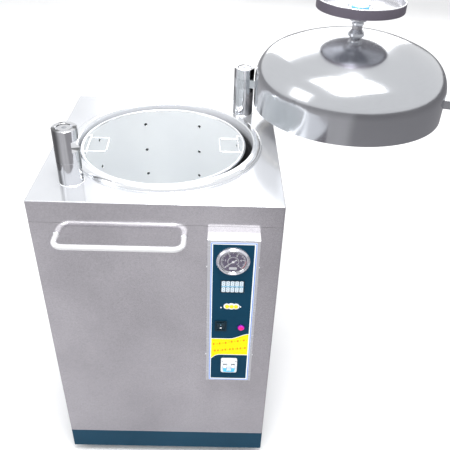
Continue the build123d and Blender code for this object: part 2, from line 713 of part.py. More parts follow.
# two-pole breaker
TOGGLE_Y, TOGGLE_Z = OVER_Y - 3.5, BREAKER_Z - 3.0
with BuildPart() as breaker_body:
    with BuildSketch(facing_front(FRONT_Y + 22)):
        with Locations((BREAKER_X, BREAKER_Z)):
            Rectangle(35.4, 42.4)
    extrude(amount=-OVER_Y - 238)
    with BuildSketch(facing_front(OVER_Y)):
        with Locations((BREAKER_X, BREAKER_Z)):
            RectangleRounded(37.6, 44, 5)
    extrude(amount=6)
    fillet(breaker_body.faces().sort_by(Axis.Y)[0].edges(), 1.6)
    # slots that the toggles swing in
    with BuildSketch(facing_front(OVER_Y + 5)):
        with Locations((BREAKER_X - 9.4, TOGGLE_Z), (BREAKER_X + 9.4, TOGGLE_Z)):
            Rectangle(8.4, 23)
    extrude(amount=12, mode=Mode.SUBTRACT)
breaker_body.part.label = "breaker_body"
export_step(breaker_body.part, "parts/breaker_body.step")

with BuildPart() as breaker_toggle:
    with BuildSketch(facing_side(BREAKER_X - 9.4 - 3.6)):
        with Locations((TOGGLE_Y, TOGGLE_Z)):
            Circle(5.0)
        with BuildLine():
            Polyline(
                (TOGGLE_Y + 1, TOGGLE_Z + 3.6), (TOGGLE_Y - 11.2, TOGGLE_Z - 5.0), (TOGGLE_Y - 8.6, TOGGLE_Z - 9.0),
                (TOGGLE_Y + 1, TOGGLE_Z - 4.2), close=True,
            )
        make_face()
    extrude(amount=7.2)
    with BuildSketch(facing_side(BREAKER_X + 9.4 - 3.6)):
        with Locations((TOGGLE_Y, TOGGLE_Z)):
            Circle(5.0)
        with BuildLine():
            Polyline(
                (TOGGLE_Y + 1, TOGGLE_Z + 3.6), (TOGGLE_Y - 11.2, TOGGLE_Z - 5.0), (TOGGLE_Y - 8.6, TOGGLE_Z - 9.0),
                (TOGGLE_Y + 1, TOGGLE_Z - 4.2), close=True,
            )
        make_face()
    extrude(amount=7.2)
    # tie bar
    with BuildSketch(facing_side(BREAKER_X - 9.4)):
        with Locations((TOGGLE_Y - 9.2, TOGGLE_Z - 6.6)):
            Circle(1.3)
    extrude(amount=18.8)
breaker_toggle.part.label = "breaker_toggle"
export_step(breaker_toggle.part, "parts/breaker_toggle.step")

# ================================================================ hinge post
with BuildPart() as hinge_column:
    with BuildSketch(Plane.XY.offset(DECK_Z)):
        with Locations((HINGE_X, HINGE_Y)):
            Circle(POST_R)
    extrude(amount=SLOT_LOW - DECK_Z)
    with BuildSketch(Plane.XY.offset(869)):
        with Locations((HINGE_X, HINGE_Y)):
            Circle(POST_R + 1)
            Circle(POST_R - 0.6, mode=Mode.SUBTRACT)
    extrude(amount=0.9, mode=Mode.SUBTRACT)
    # stud and nut under the deck
    with BuildSketch(Plane.XY.offset(DECK_Z)):
        with Locations((HINGE_X, HINGE_Y)):
            Circle(12)
    extrude(amount=-80)
    with BuildSketch(Plane.XY.offset(SLOT_LOW)):
        with Locations((HINGE_X, HINGE_Y)):
            Circle(10.02)
    extrude(amount=-60, mode=Mode.SUBTRACT)
hinge_column.part.label = "hinge_column"
export_step(hinge_column.part, "parts/hinge_column.step")

with BuildPart() as hinge_pin:
    with BuildSketch(Plane.XY.offset(SLOT_LOW - 58)):
        with Locations((HINGE_X, HINGE_Y)):
            Circle(10)
    extrude(amount=POST_TOP - 5 - SLOT_LOW + 58)
    with BuildSketch(Plane.XY.offset(POST_TOP - 5)):
        with Locations((HINGE_X, HINGE_Y)):
            Circle(14)
    extrude(amount=3.6)
    with BuildSketch(Plane.XY.offset(POST_TOP - 4)):
        with Locations((HINGE_X, HINGE_Y)):
            RegularPolygon(5, 6, major_radius=False)
    extrude(amount=4, mode=Mode.SUBTRACT)
hinge_pin.part.label = "hinge_pin"
export_step(hinge_pin.part, "parts/hinge_pin.step")

with BuildPart() as hinge_cap:
    with BuildSketch(Plane.XY.offset(SLOT_HIGH)):
        with Locations((HINGE_X, HINGE_Y)):
            Circle(POST_R)
            Circle(10.02, mode=Mode.SUBTRACT)
    extrude(amount=POST_TOP - SLOT_HIGH)
    with BuildSketch(Plane.XY.offset(POST_TOP - 5)):
        with Locations((HINGE_X, HINGE_Y)):
            Circle(16.5)
    extrude(amount=6, mode=Mode.SUBTRACT)
    chamfer(hinge_cap.edges().filter_by(GeomType.CIRCLE).group_by(Axis.Z)[-1], 0.8)
hinge_cap.part.label = "hinge_cap"
export_step(hinge_cap.part, "parts/hinge_cap.step")

# ================================================================ latch post
LATCH = (-POST_OFF, -POST_OFF)
with BuildPart() as latch_column:
    with BuildSketch(Plane.XY.offset(DECK_Z)):
        with Locations(LATCH):
            Circle(POST_R)
    extrude(amount=SLOT_LOW - DECK_Z)
    with BuildSketch(Plane.XY.offset(869)):
        with Locations(LATCH):
            Circle(POST_R + 1)
            Circle(POST_R - 0.6, mode=Mode.SUBTRACT)
    extrude(amount=0.9, mode=Mode.SUBTRACT)
    with BuildSketch(Plane.XY.offset(DECK_Z)):
        with Locations(LATCH):
            Circle(12)
    extrude(amount=-80)
latch_column.part.label = "latch_column"
export_step(latch_column.part, "parts/latch_column.step")

# the head is a web on the outer side and a stop on the side away from the front
LATCH_PLANE = Plane(origin=(LATCH[0], LATCH[1], SLOT_LOW), x_dir=(-1, -1, 0), z_dir=(0, 0, 1))
with BuildPart() as latch_head:
    with BuildSketch(LATCH_PLANE):
        Circle(POST_R)
        # local x points away from the vessel, local y points to the front right
        with Locations((-23, 4)):
            Rectangle(54, 45.2, mode=Mode.SUBTRACT)
    extrude(amount=SLOT_HIGH - SLOT_LOW)
latch_head.part.label = "latch_head"
export_step(latch_head.part, "parts/latch_head.step")

with BuildPart() as latch_cap:
    with BuildSketch(Plane.XY.offset(SLOT_HIGH)):
        with Locations(LATCH):
            Circle(POST_R)
    extrude(amount=POST_TOP - SLOT_HIGH)
    with BuildSketch(Plane.XY.offset(POST_TOP - 5)):
        with Locations(LATCH):
            Circle(16.5)
    extrude(amount=6, mode=Mode.SUBTRACT)
    chamfer(latch_cap.edges().filter_by(GeomType.CIRCLE).group_by(Axis.Z)[-1], 0.8)
latch_cap.part.label = "latch_cap"
export_step(latch_cap.part, "parts/latch_cap.step")

with BuildPart() as latch_bolt:
    with BuildSketch(Plane.XY.offset(POST_TOP - 5)):
        with Locations(LATCH):
            Circle(14)
    extrude(amount=3.6)
    with BuildSketch(Plane.XY.offset(POST_TOP - 4)):
        with Locations(LATCH):
            RegularPolygon(5, 6, major_radius=False)
    extrude(amount=4, mode=Mode.SUBTRACT)
latch_bolt.part.label = "latch_bolt"
export_step(latch_bolt.part, "parts/latch_bolt.step")

# ================================================================ basket
def basket_plane(z):
    return Plane(origin=(BASKET_X, BASKET_Y, z), x_dir=(1, 0, 0), z_dir=(0, 0, 1))


with BuildPart() as basket_body:
    with BuildSketch(basket_plane(BASKET_FLOOR)):
        Circle(BASKET_R)
    extrude(amount=BASKET_RIM - BASKET_FLOOR)
    with BuildSketch(basket_plane(BASKET_FLOOR + 1)):
        Circle(BASKET_R - 1)
    extrude(amount=BASKET_RIM - BASKET_FLOOR, mode=Mode.SUBTRACT)
    # wall holes, six rows of eight, and floor holes
    for row in range(6):
        z = 783.6 - 72.7 * row
        for k in range(4):
            with BuildSketch(Plane(origin=(BASKET_X, BASKET_Y, z), x_dir=(0, 0, 1), z_dir=(cos(radians(20.6 + 45 * k)), sin(radians(20.6 + 45 * k)), 0))):
                Circle(3.8)
            extrude(amount=200, both=True, mode=Mode.SUBTRACT)
    with BuildSketch(basket_plane(BASKET_FLOOR)):
        with PolarLocations(45, 6):
            Circle(5)
        with PolarLocations(95, 12):
            Circle(5)
        with PolarLocations(145, 18):
            Circle(5)
    extrude(amount=2, mode=Mode.SUBTRACT)
    # four lugs for the bails
    for turn in (BAIL_DEG, BAIL_DEG + 180):
        with BuildSketch(basket_plane(809).rotated((0, 0, turn))):
            with Locations((BAIL_R, 40), (BAIL_R, -40)):
                Rectangle(8, 5)
        extrude(amount=9)
        with BuildSketch(Plane(origin=(BASKET_X + BAIL_R * cos(radians(turn)), BASKET_Y + BAIL_R * sin(radians(turn)), BAIL_Z),
                               x_dir=(0, 0, 1), z_dir=(-sin(radians(turn)), cos(radians(turn)), 0))):
            Circle(2.3)
        extrude(amount=43, both=True, mode=Mode.SUBTRACT)
basket_body.part.label = "basket_body"
export_step(basket_body.part, "parts/basket_body.step")

# rolled wire along the top edge, open on its underside so that the wall enters it
with BuildPart() as basket_rim:
    with BuildSketch(Plane(origin=(BASKET_X, BASKET_Y, 0), x_dir=(1, 0, 0), z_dir=(0, -1, 0))):
        with Locations((BASKET_R + 2.6, BASKET_RIM)):
            Circle(3.6)
        with Locations((BASKET_R - 1.0, BASKET_RIM - 2)):
            Rectangle(2.4, 6, mode=Mode.SUBTRACT)
    revolve(axis=Axis((BASKET_X, BASKET_Y, 0), (0, 0, 1)))
basket_rim.part.label = "basket_rim"
export_step(basket_rim.part, "parts/basket_rim.step")


# wire loops lying inward from the rim, with their pins in the lugs
BAIL_REACH, BAIL_HALF, BAIL_WIRE = 44.0, 33.0, 2.2


def bail_frame(turn):
    """Plane at the middle of a bail's pin line; its x points inward, its z along the pins."""
    a = radians(turn)
    return Plane(origin=(BASKET_X + BAIL_R * cos(a), BASKET_Y + BAIL_R * sin(a), BAIL_Z), x_dir=(-cos(a), -sin(a), 0), z_dir=(-sin(a), cos(a), 0))


def bail_points(turn):
    frame = bail_frame(turn)
    local = [(0, BAIL_HALF), (BAIL_REACH, BAIL_HALF), (BAIL_REACH, -BAIL_HALF), (0, -BAIL_HALF)]
    return [frame.from_local_coords((x, 0, along)) for x, along in local]


with BuildPart() as bail_right:
    with BuildLine():
        bail_right_path = FilletPolyline(*bail_points(BAIL_DEG), radius=6)
    with BuildSketch(Plane(origin=bail_right_path @ 0, z_dir=bail_right_path % 0)):
        Circle(BAIL_WIRE)
    sweep(path=bail_right_path)
    with BuildSketch(bail_frame(BAIL_DEG)):
        Circle(BAIL_WIRE)
    extrude(amount=42.2, both=True)
bail_right.part.label = "bail_right"
export_step(bail_right.part, "parts/bail_right.step")

with BuildPart() as bail_left:
    with BuildLine():
        bail_left_path = FilletPolyline(*bail_points(BAIL_DEG + 180), radius=6)
    with BuildSketch(Plane(origin=bail_left_path @ 0, z_dir=bail_left_path % 0)):
        Circle(BAIL_WIRE)
    sweep(path=bail_left_path)
    with BuildSketch(bail_frame(BAIL_DEG + 180)):
        Circle(BAIL_WIRE)
    extrude(amount=42.2, both=True)
bail_left.part.label = "bail_left"
export_step(bail_left.part, "parts/bail_left.step")

# ================================================================ swing beam
with BuildPart() as beam:
    with BuildSketch(lid_section()):
        with BuildLine():
            Polyline(
                (-242, 893.5), (-206, 893.5), (-112, 958), (112, 958), (206, 893.5), (256.3, 893.5),
                (256.3, 913.5), (213, 913.5), (108, 980), (-108, 980), (-213, 913.5), (-242, 913.5), close=True,
            )
        make_face()
    extrude(amount=BEAM_W / 2, both=True)
    with BuildSketch(Plane.XY.offset(SLOT_LOW + 0.3)):
        with Locations((HINGE_X, HINGE_Y)):
            Circle(POST_R)
    extrude(amount=SLOT_HIGH - SLOT_LOW - 0.6)
    with BuildSketch(Plane.XY.offset(SLOT_LOW)):
        with Locations((HINGE_X, HINGE_Y)):
            Circle(10 + RUN_FIT)
    extrude(amount=SLOT_HIGH - SLOT_LOW, mode=Mode.SUBTRACT)
    # swelling that carries the nut
    with BuildSketch(lid_plane(958)):
        Circle(34)
    extrude(amount=22)
    with BuildSketch(lid_plane(950)):
        Circle(24.02)
    extrude(amount=40, mode=Mode.SUBTRACT)
beam.part.label = "beam"
export_step(beam.part, "parts/beam.step")

with BuildPart() as beam_nut:
    with BuildSketch(lid_plane(958.5)):
        Circle(24)
    extrude(amount=21.5)
    with BuildSketch(lid_plane(980)):
        Circle(30)
    extrude(amount=5)
    with BuildSketch(lid_plane(985)):
        RegularPolygon(24, 6, major_radius=False)
    extrude(amount=11)
    with BuildSketch(lid_plane(950)):
        Circle(SCREW_R + RUN_FIT)
    extrude(amount=60, mode=Mode.SUBTRACT)
beam_nut.part.label = "beam_nut"
export_step(beam_nut.part, "parts/beam_nut.step")

# ================================================================ lid
CAP_R = 428.4
CAP_Z = 930.0 - CAP_R
with BuildPart() as lid_plate:
    with BuildSketch(lid_section()):
        with BuildLine():
            Polyline(
                (0, 924), (0, 930),
            )
            ThreePointArc((0, 930), (95, CAP_Z + sqrt(CAP_R**2 - 95**2)), (185, CAP_Z + sqrt(CAP_R**2 - 185**2)))
            inner_foot = sqrt((CAP_R - 6) ** 2 - (PLATE_Z - CAP_Z) ** 2)
            Polyline(
                (185, CAP_Z + sqrt(CAP_R**2 - 185**2)), (185, PLATE_TOP), (LID_R, PLATE_TOP), (LID_R, PLATE_Z),
                (212.2, PLATE_Z), (212.2, PLATE_Z + 5.2), (203.0, PLATE_Z + 5.2), (203.0, PLATE_Z),
                (inner_foot, PLATE_Z),
            )
            ThreePointArc((inner_foot, PLATE_Z), (95, CAP_Z + sqrt((CAP_R - 6) ** 2 - 95**2)), (0, 924))
        make_face()
    revolve(axis=LID_AXIS)
    with BuildSketch(lid_plane(926)):
        Circle(36)
    extrude(amount=20)
    with BuildSketch(lid_plane(938)):
        Circle(22.4)
    extrude(amount=20, mode=Mode.SUBTRACT)
lid_plate.part.label = "lid_plate"
export_step(lid_plate.part, "parts/lid_plate.step")

with BuildPart() as lid_gasket:
    with BuildSketch(lid_plane(GASKET_Z)):
        Circle(211.9)
        Circle(203.3, mode=Mode.SUBTRACT)
    extrude(amount=10.1)
    fillet(lid_gasket.edges().group_by(Axis.Z)[0], 1.2)
lid_gasket.part.label = "lid_gasket"
export_step(lid_gasket.part, "parts/lid_gasket.step")

# spun outer cover with a notch for the beam on each side and a collar on top
KN_C, KN_Z, COV_CROWN, COV_Z = 144.0, 930.0, 410.7, 632.3
TAN_X, TAN_Z = (KN_C) / (COV_CROWN - 80), (KN_Z - COV_Z) / (COV_CROWN - 80)


def cover_arc(offset):
    """Crown and knuckle arcs of the cover, moved inward by offset."""
    crown, knuckle = COV_CROWN - offset, 80 - offset
    top = (0, COV_Z + crown)
    tangent = (crown * TAN_X, COV_Z + crown * TAN_Z)
    mid = (tangent[0] / 2, COV_Z + sqrt(crown**2 - (tangent[0] / 2) ** 2))
    n = sqrt((TAN_X + 1) ** 2 + TAN_Z**2)
    bend = (KN_C + knuckle * (TAN_X + 1) / n, KN_Z + knuckle * TAN_Z / n)
    return top, mid, tangent, bend, (KN_C + knuckle, KN_Z)


o_top, o_mid, o_tan, o_bend, o_side = cover_arc(0)
i_top, i_mid, i_tan, i_bend, i_side = cover_arc(1.5)
with BuildPart() as lid_cover:
    with BuildSketch(lid_section()):
        with BuildLine():
            ThreePointArc(o_top, o_mid, o_tan)
            ThreePointArc(o_tan, o_bend, o_side)
            Polyline(o_side, (COVER_R, COVER_RIM), (COVER_R - 1.5, COVER_RIM), i_side)
            ThreePointArc(i_side, i_bend, i_tan)
            ThreePointArc(i_tan, i_mid, i_top)
            Line(i_top, o_top)
        make_face()
    revolve(axis=LID_AXIS)
    # collar round the screw
    with BuildSketch(lid_plane(1041.6)):
        Circle(18.9)
    extrude(amount=4.4)
    with BuildSketch(lid_plane(1046)):
        Circle(18.9)
    extrude(amount=8, taper=40)
    with BuildSketch(lid_plane(1030)):
        Circle(11.9)
    extrude(amount=40, mode=Mode.SUBTRACT)
    # beam notches, tall enough for the lid's travel
    with BuildSketch(lid_plane(COVER_RIM - 2)):
        with Locations((222, 0), (-222, 0)):
            Rectangle(30, 42)
    extrude(amount=957.5 - COVER_RIM + 2, mode=Mode.SUBTRACT)
    # inner ring that seats the cover on the edge of the pressure plate
    with BuildSketch(lid_plane(876)):
        Circle(222.7)
        Circle(218.1, mode=Mode.SUBTRACT)
    extrude(amount=11)
lid_cover.part.label = "lid_cover"
export_step(lid_cover.part, "parts/lid_cover.step")

with BuildPart() as thrust_bearing:
    with BuildSketch(lid_plane(938)):
        Circle(20)
        Circle(9, mode=Mode.SUBTRACT)
    extrude(amount=3)
thrust_bearing.part.label = "thrust_bearing"
export_step(thrust_bearing.part, "parts/thrust_bearing.step")

with BuildPart() as bearing_retainer:
    with BuildSketch(lid_plane(946)):
        Circle(34)
        Circle(SCREW_R + 0.4, mode=Mode.SUBTRACT)
    extrude(amount=3.2)
    with BuildSketch(lid_plane(949.2)):
        with PolarLocations(28.5, 4, start_angle=45):
            Circle(3)
    extrude(amount=2)
bearing_retainer.part.label = "bearing_retainer"
export_step(bearing_retainer.part, "parts/bearing_retainer.step")

# ================================================================ screw and hand wheel
with BuildPart() as lid_screw:
    with BuildSketch(lid_section()):
        with BuildLine():
            Polyline(
                (0, 941.2), (20, 941.2), (20, 945.7), (SCREW_R, 945.7), (SCREW_R, 1038), (11.5, 1038.0),
                (11.5, 1069), (19, 1073), (19, 1077), (15, 1079), (15, WHEEL_LOW + 2), (0, WHEEL_LOW + 2), close=True,
            )
        make_face()
    revolve(axis=LID_AXIS)
lid_screw.part.label = "lid_screw"
export_step(lid_screw.part, "parts/lid_screw.step")

# drum-shaped wheel: tall band, rolled lip and a dished web
with BuildPart() as hand_wheel:
    with BuildSketch(lid_section()):
        with BuildLine():
            Polyline(
                (15.05, WHEEL_LOW - 4), (15.05, WHEEL_LOW + 2), (22, WHEEL_LOW + 2), (34, WHEEL_LOW + 5),
                (93.5, WHEEL_LOW + 5), (95, WHEEL_LOW + 7), (95, WHEEL_HIGH - 1.2), (96, WHEEL_HIGH),
                (97.6, WHEEL_HIGH), (WHEEL_R, WHEEL_HIGH - 1.2), (WHEEL_R, WHEEL_LOW + 1), (97.5, WHEEL_LOW),
                (94, WHEEL_LOW), (93, WHEEL_LOW + 2.6), (35, WHEEL_LOW + 2.6), (24, WHEEL_LOW - 1), (20, WHEEL_LOW - 4), close=True,
            )
        make_face()
    revolve(axis=LID_AXIS)
hand_wheel.part.label = "hand_wheel"
export_step(hand_wheel.part, "parts/hand_wheel.step")

with BuildPart() as wheel_cap:
    with BuildSketch(lid_plane(WHEEL_LOW + 2)):
        Circle(20)
    extrude(amount=4.4)
    fillet(wheel_cap.faces().sort_by(Axis.Z)[-1].edges(), 1.6)
wheel_cap.part.label = "wheel_cap"
export_step(wheel_cap.part, "parts/wheel_cap.step")
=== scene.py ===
import math
import random

import bpy
import bmesh
from mathutils import Matrix, Vector


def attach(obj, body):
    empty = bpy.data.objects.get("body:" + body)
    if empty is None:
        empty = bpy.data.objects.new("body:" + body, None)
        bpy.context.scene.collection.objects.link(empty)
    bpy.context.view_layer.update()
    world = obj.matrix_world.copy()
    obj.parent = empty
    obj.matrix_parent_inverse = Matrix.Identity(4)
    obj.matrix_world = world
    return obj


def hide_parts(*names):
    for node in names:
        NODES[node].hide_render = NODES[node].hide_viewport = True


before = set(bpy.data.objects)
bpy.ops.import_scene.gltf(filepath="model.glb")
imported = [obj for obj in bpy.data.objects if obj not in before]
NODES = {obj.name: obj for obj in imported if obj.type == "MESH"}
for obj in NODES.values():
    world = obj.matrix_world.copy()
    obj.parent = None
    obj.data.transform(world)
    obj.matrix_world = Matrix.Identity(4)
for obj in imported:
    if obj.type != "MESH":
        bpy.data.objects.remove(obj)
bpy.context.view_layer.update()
random.seed(7)
MM = 0.001

# ------------------------------------------------------------------ sizes shared with the CAD, in mm
OVER_Y = -287.8
GAUGE = (155.5, 705.0)
DISPLAY = (156.5, 636.0)
KEYS_X, KEY_Z = (146.7, 156.3, 165.9), 580.0
ROCKER = (134.6, 521.0)
LAMP = (179.4, 517.4)
BREAKER = (156.3, 395.0)
POST = 253.5 / math.sqrt(2)
OPEN = math.radians(-12.0)
LIDX = POST + 253.5 * math.cos(OPEN)
LIDY = POST + 253.5 * math.sin(OPEN)
BKX, BKY = -6.2, -2.5


# ------------------------------------------------------------------ colour
def lin(r, g, b):
    def one(c):
        c = c / 255.0
        return c / 12.92 if c <= 0.04045 else ((c + 0.055) / 1.055) ** 2.4

    return (one(r), one(g), one(b), 1.0)


def shade(c, k):
    return (min(c[0] * k, 1), min(c[1] * k, 1), min(c[2] * k, 1), 1.0)


# ------------------------------------------------------------------ node helpers
class Mat:
    """A material with its node tree, and short calls for the nodes that the finishes share."""

    def __init__(self, name):
        self.m = bpy.data.materials.new(name)
        self.m.use_nodes = True
        self.t = self.m.node_tree
        self.n = self.t.nodes
        self.n.clear()
        self.out = self.n.new("ShaderNodeOutputMaterial")
        self.b = self.n.new("ShaderNodeBsdfPrincipled")
        self.link(self.b.outputs[0], self.out.inputs[0])
        tc = self.n.new("ShaderNodeTexCoord")
        self.co = tc.outputs["Object"]
        self.height = None

    def link(self, a, b):
        self.t.links.new(a, b)

    def set(self, **k):
        names = {
            "base": "Base Color", "metal": "Metallic", "rough": "Roughness", "ior": "IOR",
            "trans": "Transmission Weight", "coat": "Coat Weight", "coat_rough": "Coat Roughness",
            "spec": "Specular IOR Level", "sheen": "Sheen Weight", "alpha": "Alpha",
            "emit": "Emission Color", "emit_power": "Emission Strength", "aniso": "Anisotropic",
            "sss": "Subsurface Weight", "sss_scale": "Subsurface Scale",
        }
        for key, v in k.items():
            self.b.inputs[names[key]].default_value = v
        return self

    def scaled(self, sx, sy, sz, rot=(0, 0, 0), loc=(0, 0, 0)):
        mp = self.n.new("ShaderNodeMapping")
        mp.inputs["Location"].default_value = loc
        mp.inputs["Rotation"].default_value = rot
        mp.inputs["Scale"].default_value = (sx, sy, sz)
        self.link(self.co, mp.inputs["Vector"])
        return mp.outputs[0]

    def polar(self, cx, cy, around, radial, up):
        """Coordinates round a vertical axis: angle, radius and height, each with its own scale."""
        mp = self.n.new("ShaderNodeMapping")
        mp.inputs["Location"].default_value = (-cx, -cy, 0)
        self.link(self.co, mp.inputs["Vector"])
        sep = self.n.new("ShaderNodeSeparateXYZ")
        self.link(mp.outputs[0], sep.inputs[0])
        ang = self.math("ARCTAN2", sep.outputs[1], sep.outputs[0])
        r2 = self.math("ADD", self.math("MULTIPLY", sep.outputs[0], sep.outputs[0]),
                       self.math("MULTIPLY", sep.outputs[1], sep.outputs[1]))
        rad = self.math("SQRT", r2)
        # cosine and sine keep the pattern whole where the angle wraps
        cmb = self.n.new("ShaderNodeCombineXYZ")
        self.link(self.math("MULTIPLY", self.math("COSINE", ang), around), cmb.inputs[0])
        self.link(self.math("MULTIPLY", self.math("SINE", ang), around), cmb.inputs[1])
        both = self.math("ADD", self.math("MULTIPLY", rad, radial), self.math("MULTIPLY", sep.outputs[2], up))
        self.link(both, cmb.inputs[2])
        return cmb.outputs[0]

    def math(self, op, a, b=None, clamp=False):
        nd = self.n.new("ShaderNodeMath")
        nd.operation = op
        nd.use_clamp = clamp
        for i, v in enumerate((a, b)):
            if v is None:
                continue
            if isinstance(v, (int, float)):
                nd.inputs[i].default_value = v
            else:
                self.link(v, nd.inputs[i])
        return nd.outputs[0]

    def noise(self, vec, scale=1.0, detail=4.0, rough=0.55, distort=0.0):
        nd = self.n.new("ShaderNodeTexNoise")
        nd.inputs["Scale"].default_value = scale
        nd.inputs["Detail"].default_value = detail
        nd.inputs["Roughness"].default_value = rough
        nd.inputs["Distortion"].default_value = distort
        self.link(vec, nd.inputs["Vector"])
        return nd.outputs["Fac"]

    def voronoi(self, vec, scale, feature="F1", randomness=1.0):
        nd = self.n.new("ShaderNodeTexVoronoi")
        nd.feature = feature
        nd.inputs["Scale"].default_value = scale
        nd.inputs["Randomness"].default_value = randomness
        self.link(vec, nd.inputs["Vector"])
        return nd.outputs["Distance"]

    def ramp(self, fac, stops):
        nd = self.n.new("ShaderNodeValToRGB")
        cr = nd.color_ramp
        while len(cr.elements) < len(stops):
            cr.elements.new(0.5)
        for e, (p, c) in zip(cr.elements, stops):
            e.position = p
            e.color = c if isinstance(c, tuple) else (c, c, c, 1)
        self.link(fac, nd.inputs[0])
        return nd.outputs[0]

    def span(self, fac, a0, a1, b0, b1):
        nd = self.n.new("ShaderNodeMapRange")
        nd.clamp = True
        for i, v in enumerate((a0, a1, b0, b1)):
            nd.inputs[1 + i].default_value = v
        self.link(fac, nd.inputs[0])
        return nd.outputs[0]

    def mix(self, fac, a, b, how="MIX"):
        nd = self.n.new("ShaderNodeMix")
        nd.data_type = "RGBA"
        nd.blend_type = how
        ins = [s for s in nd.inputs if s.enabled]
        if isinstance(fac, (int, float)):
            nd.inputs[0].default_value = fac
        else:
            self.link(fac, nd.inputs[0])
        for i, v in ((6, a), (7, b)):
            if isinstance(v, tuple):
                nd.inputs[i].default_value = v
            else:
                self.link(v, nd.inputs[i])
        return nd.outputs[2]

    def edges(self, radius=0.0015, low=0.90, high=0.995):
        """1 on sharp outer edges and 0 on open faces."""
        bv = self.n.new("ShaderNodeBevel")
        bv.samples = 4
        bv.inputs["Radius"].default_value = radius
        ge = self.n.new("ShaderNodeNewGeometry")
        dt = self.n.new("ShaderNodeVectorMath")
        dt.operation = "DOT_PRODUCT"
        self.link(bv.outputs[0], dt.inputs[0])
        self.link(ge.outputs["Normal"], dt.inputs[1])
        return self.span(dt.outputs["Value"], low, high, 1.0, 0.0)

    def bump(self, height, strength=0.2, distance=0.0002):
        bp = self.n.new("ShaderNodeBump")
        bp.inputs["Strength"].default_value = strength
        bp.inputs["Distance"].default_value = distance
        self.link(height, bp.inputs["Height"])
        if self.height is not None:
            self.link(self.height, bp.inputs["Normal"])
        self.height = bp.outputs[0]
        self.link(self.height, self.b.inputs["Normal"])
        return self

    def base(self, col):
        self.link(col, self.b.inputs["Base Color"])
        return self

    def rough(self, val):
        self.link(val, self.b.inputs["Roughness"])
        return self


def brushed(name, colour, rough=(0.22, 0.34), along=(1, 1, 60), scale=40.0, cloud=0.08, grain=0.10,
            bump=0.08, speck=0.0, polar=None, edge=True, smear=0.04, edge_to=1.25, metal=1.0, deep=None,
            spots=900.0):
    """Brushed or polished sheet metal: fine streaks along one direction, slow clouds, small specks and bright worn
    edges; deep adds painted shade low on a wall.
    """
    m = Mat(name).set(metal=metal)
    if polar:
        fine = m.polar(*polar)
        streak = m.noise(fine, scale, 5.0, 0.62)
    else:
        fine = m.scaled(*along)
        streak = m.noise(fine, scale, 5.0, 0.62)
    clouds = m.noise(m.scaled(1, 1, 1), 5.5, 3.0, 0.5, 0.4)
    fine_spots = m.noise(m.scaled(1, 1, 1), spots, 2.0, 0.6)
    col = m.mix(m.span(clouds, 0.3, 0.72, 0, 1), shade(colour, 1 - cloud), shade(colour, 1 + cloud))
    col = m.mix(m.span(streak, 0.3, 0.7, 0, grain), col, shade(colour, 0.55))
    if speck:
        col = m.mix(m.span(fine_spots, 0.5, 0.72, 0, speck), col, shade(colour, 0.45))
        col = m.mix(m.span(fine_spots, 0.45, 0.28, 0, speck), col, shade(colour, 1.5))
    if deep:
        # painted shade: the wall below this height is darkened nearly to black, as if deep in the vessel's shadow
        sep = m.n.new("ShaderNodeSeparateXYZ")
        m.link(m.scaled(1, 1, 1), sep.inputs[0])
        low = m.span(m.math("ADD", sep.outputs[2], m.math("MULTIPLY", clouds, 0.006)), deep, deep + 0.010, 1.0, 0.0)
        col = m.mix(m.math("MULTIPLY", low, 0.93), col, shade(colour, 0.06))
    if edge:
        col = m.mix(m.math("MULTIPLY", m.edges(0.0012), 0.45), col, shade(colour, edge_to))
    m.base(col)
    r = m.math("ADD", m.span(streak, 0.25, 0.75, rough[0], rough[1]), m.span(clouds, 0.35, 0.7, -smear, smear))
    m.rough(m.math("MAXIMUM", r, 0.03))
    m.bump(streak, bump, 0.0002)
    if speck:
        m.bump(fine_spots, bump * 1.2, 0.00012)
    return m.m


def moulded(name, colour, rough=(0.32, 0.45), grain=900.0, bump=0.12, cloud=0.05, edge=0.35, coat=0.0, edge_to=1.35,
            spec=0.5):
    """Moulded or painted surface: fine texture, slow colour drift, fine scratches and rubbed edges."""
    m = Mat(name).set(metal=0.0, coat=coat, coat_rough=0.15, spec=spec)
    g = m.noise(m.scaled(1, 1, 1), grain, 3.0, 0.6)
    clouds = m.noise(m.scaled(1, 1, 1), 14.0, 4.0, 0.55, 0.3)
    scr = m.noise(m.scaled(1, 14, 1, (0.3, 0.5, 0.7)), 120.0, 2.0, 0.7)
    col = m.mix(m.span(clouds, 0.3, 0.7, 0, 1), shade(colour, 1 - cloud), shade(colour, 1 + cloud))
    col = m.mix(m.span(scr, 0.66, 0.74, 0, 0.10), col, shade(colour, 1.5))
    if edge:
        col = m.mix(m.math("MULTIPLY", m.edges(0.0009), edge), col, shade(colour, edge_to))
    m.base(col)
    r = m.math("ADD", m.span(g, 0.3, 0.7, rough[0], rough[1]), m.span(scr, 0.62, 0.74, 0, 0.10))
    m.rough(r)
    m.bump(g, bump, 0.0001)
    return m.m


# ------------------------------------------------------------------ finishes
STEEL_PANEL = lin(163, 160, 164)
STEEL_BRIGHT = lin(240, 242, 244)

M = {}
M["panel"] = brushed("panel_satin_steel", lin(222, 219, 224), (0.09, 0.15), (1, 1, 18), 60.0, 0.09, 0.12, 0.03, speck=0.24,
                     spots=360.0, edge_to=1.4, smear=0.02, metal=0.94)
M["housing"] = brushed("housing_satin_steel", lin(196, 196, 201), (0.22, 0.32), (1, 1, 18), 60.0, 0.04, 0.06, 0.04, speck=0.10,
                       edge_to=1.4, metal=0.35)
M["handle"] = brushed("handle_polished_rod", lin(250, 250, 251), (0.14, 0.22), (30, 1, 1), 20.0, 0.02, 0.03, 0.02, smear=0.02,
                      metal=0.55)
M["bezel"] = brushed("gauge_rolled_bezel", lin(214, 214, 222), (0.18, 0.28), (1, 1, 30), 50.0, 0.04, 0.06, 0.03, metal=0.75)
M["deck"] = brushed("deck_polished_steel", lin(214, 216, 220), (0.14, 0.22), (30, 1, 1), 14.0, 0.02, 0.03, 0.015, speck=0.02,
                    smear=0.03, metal=0.6)
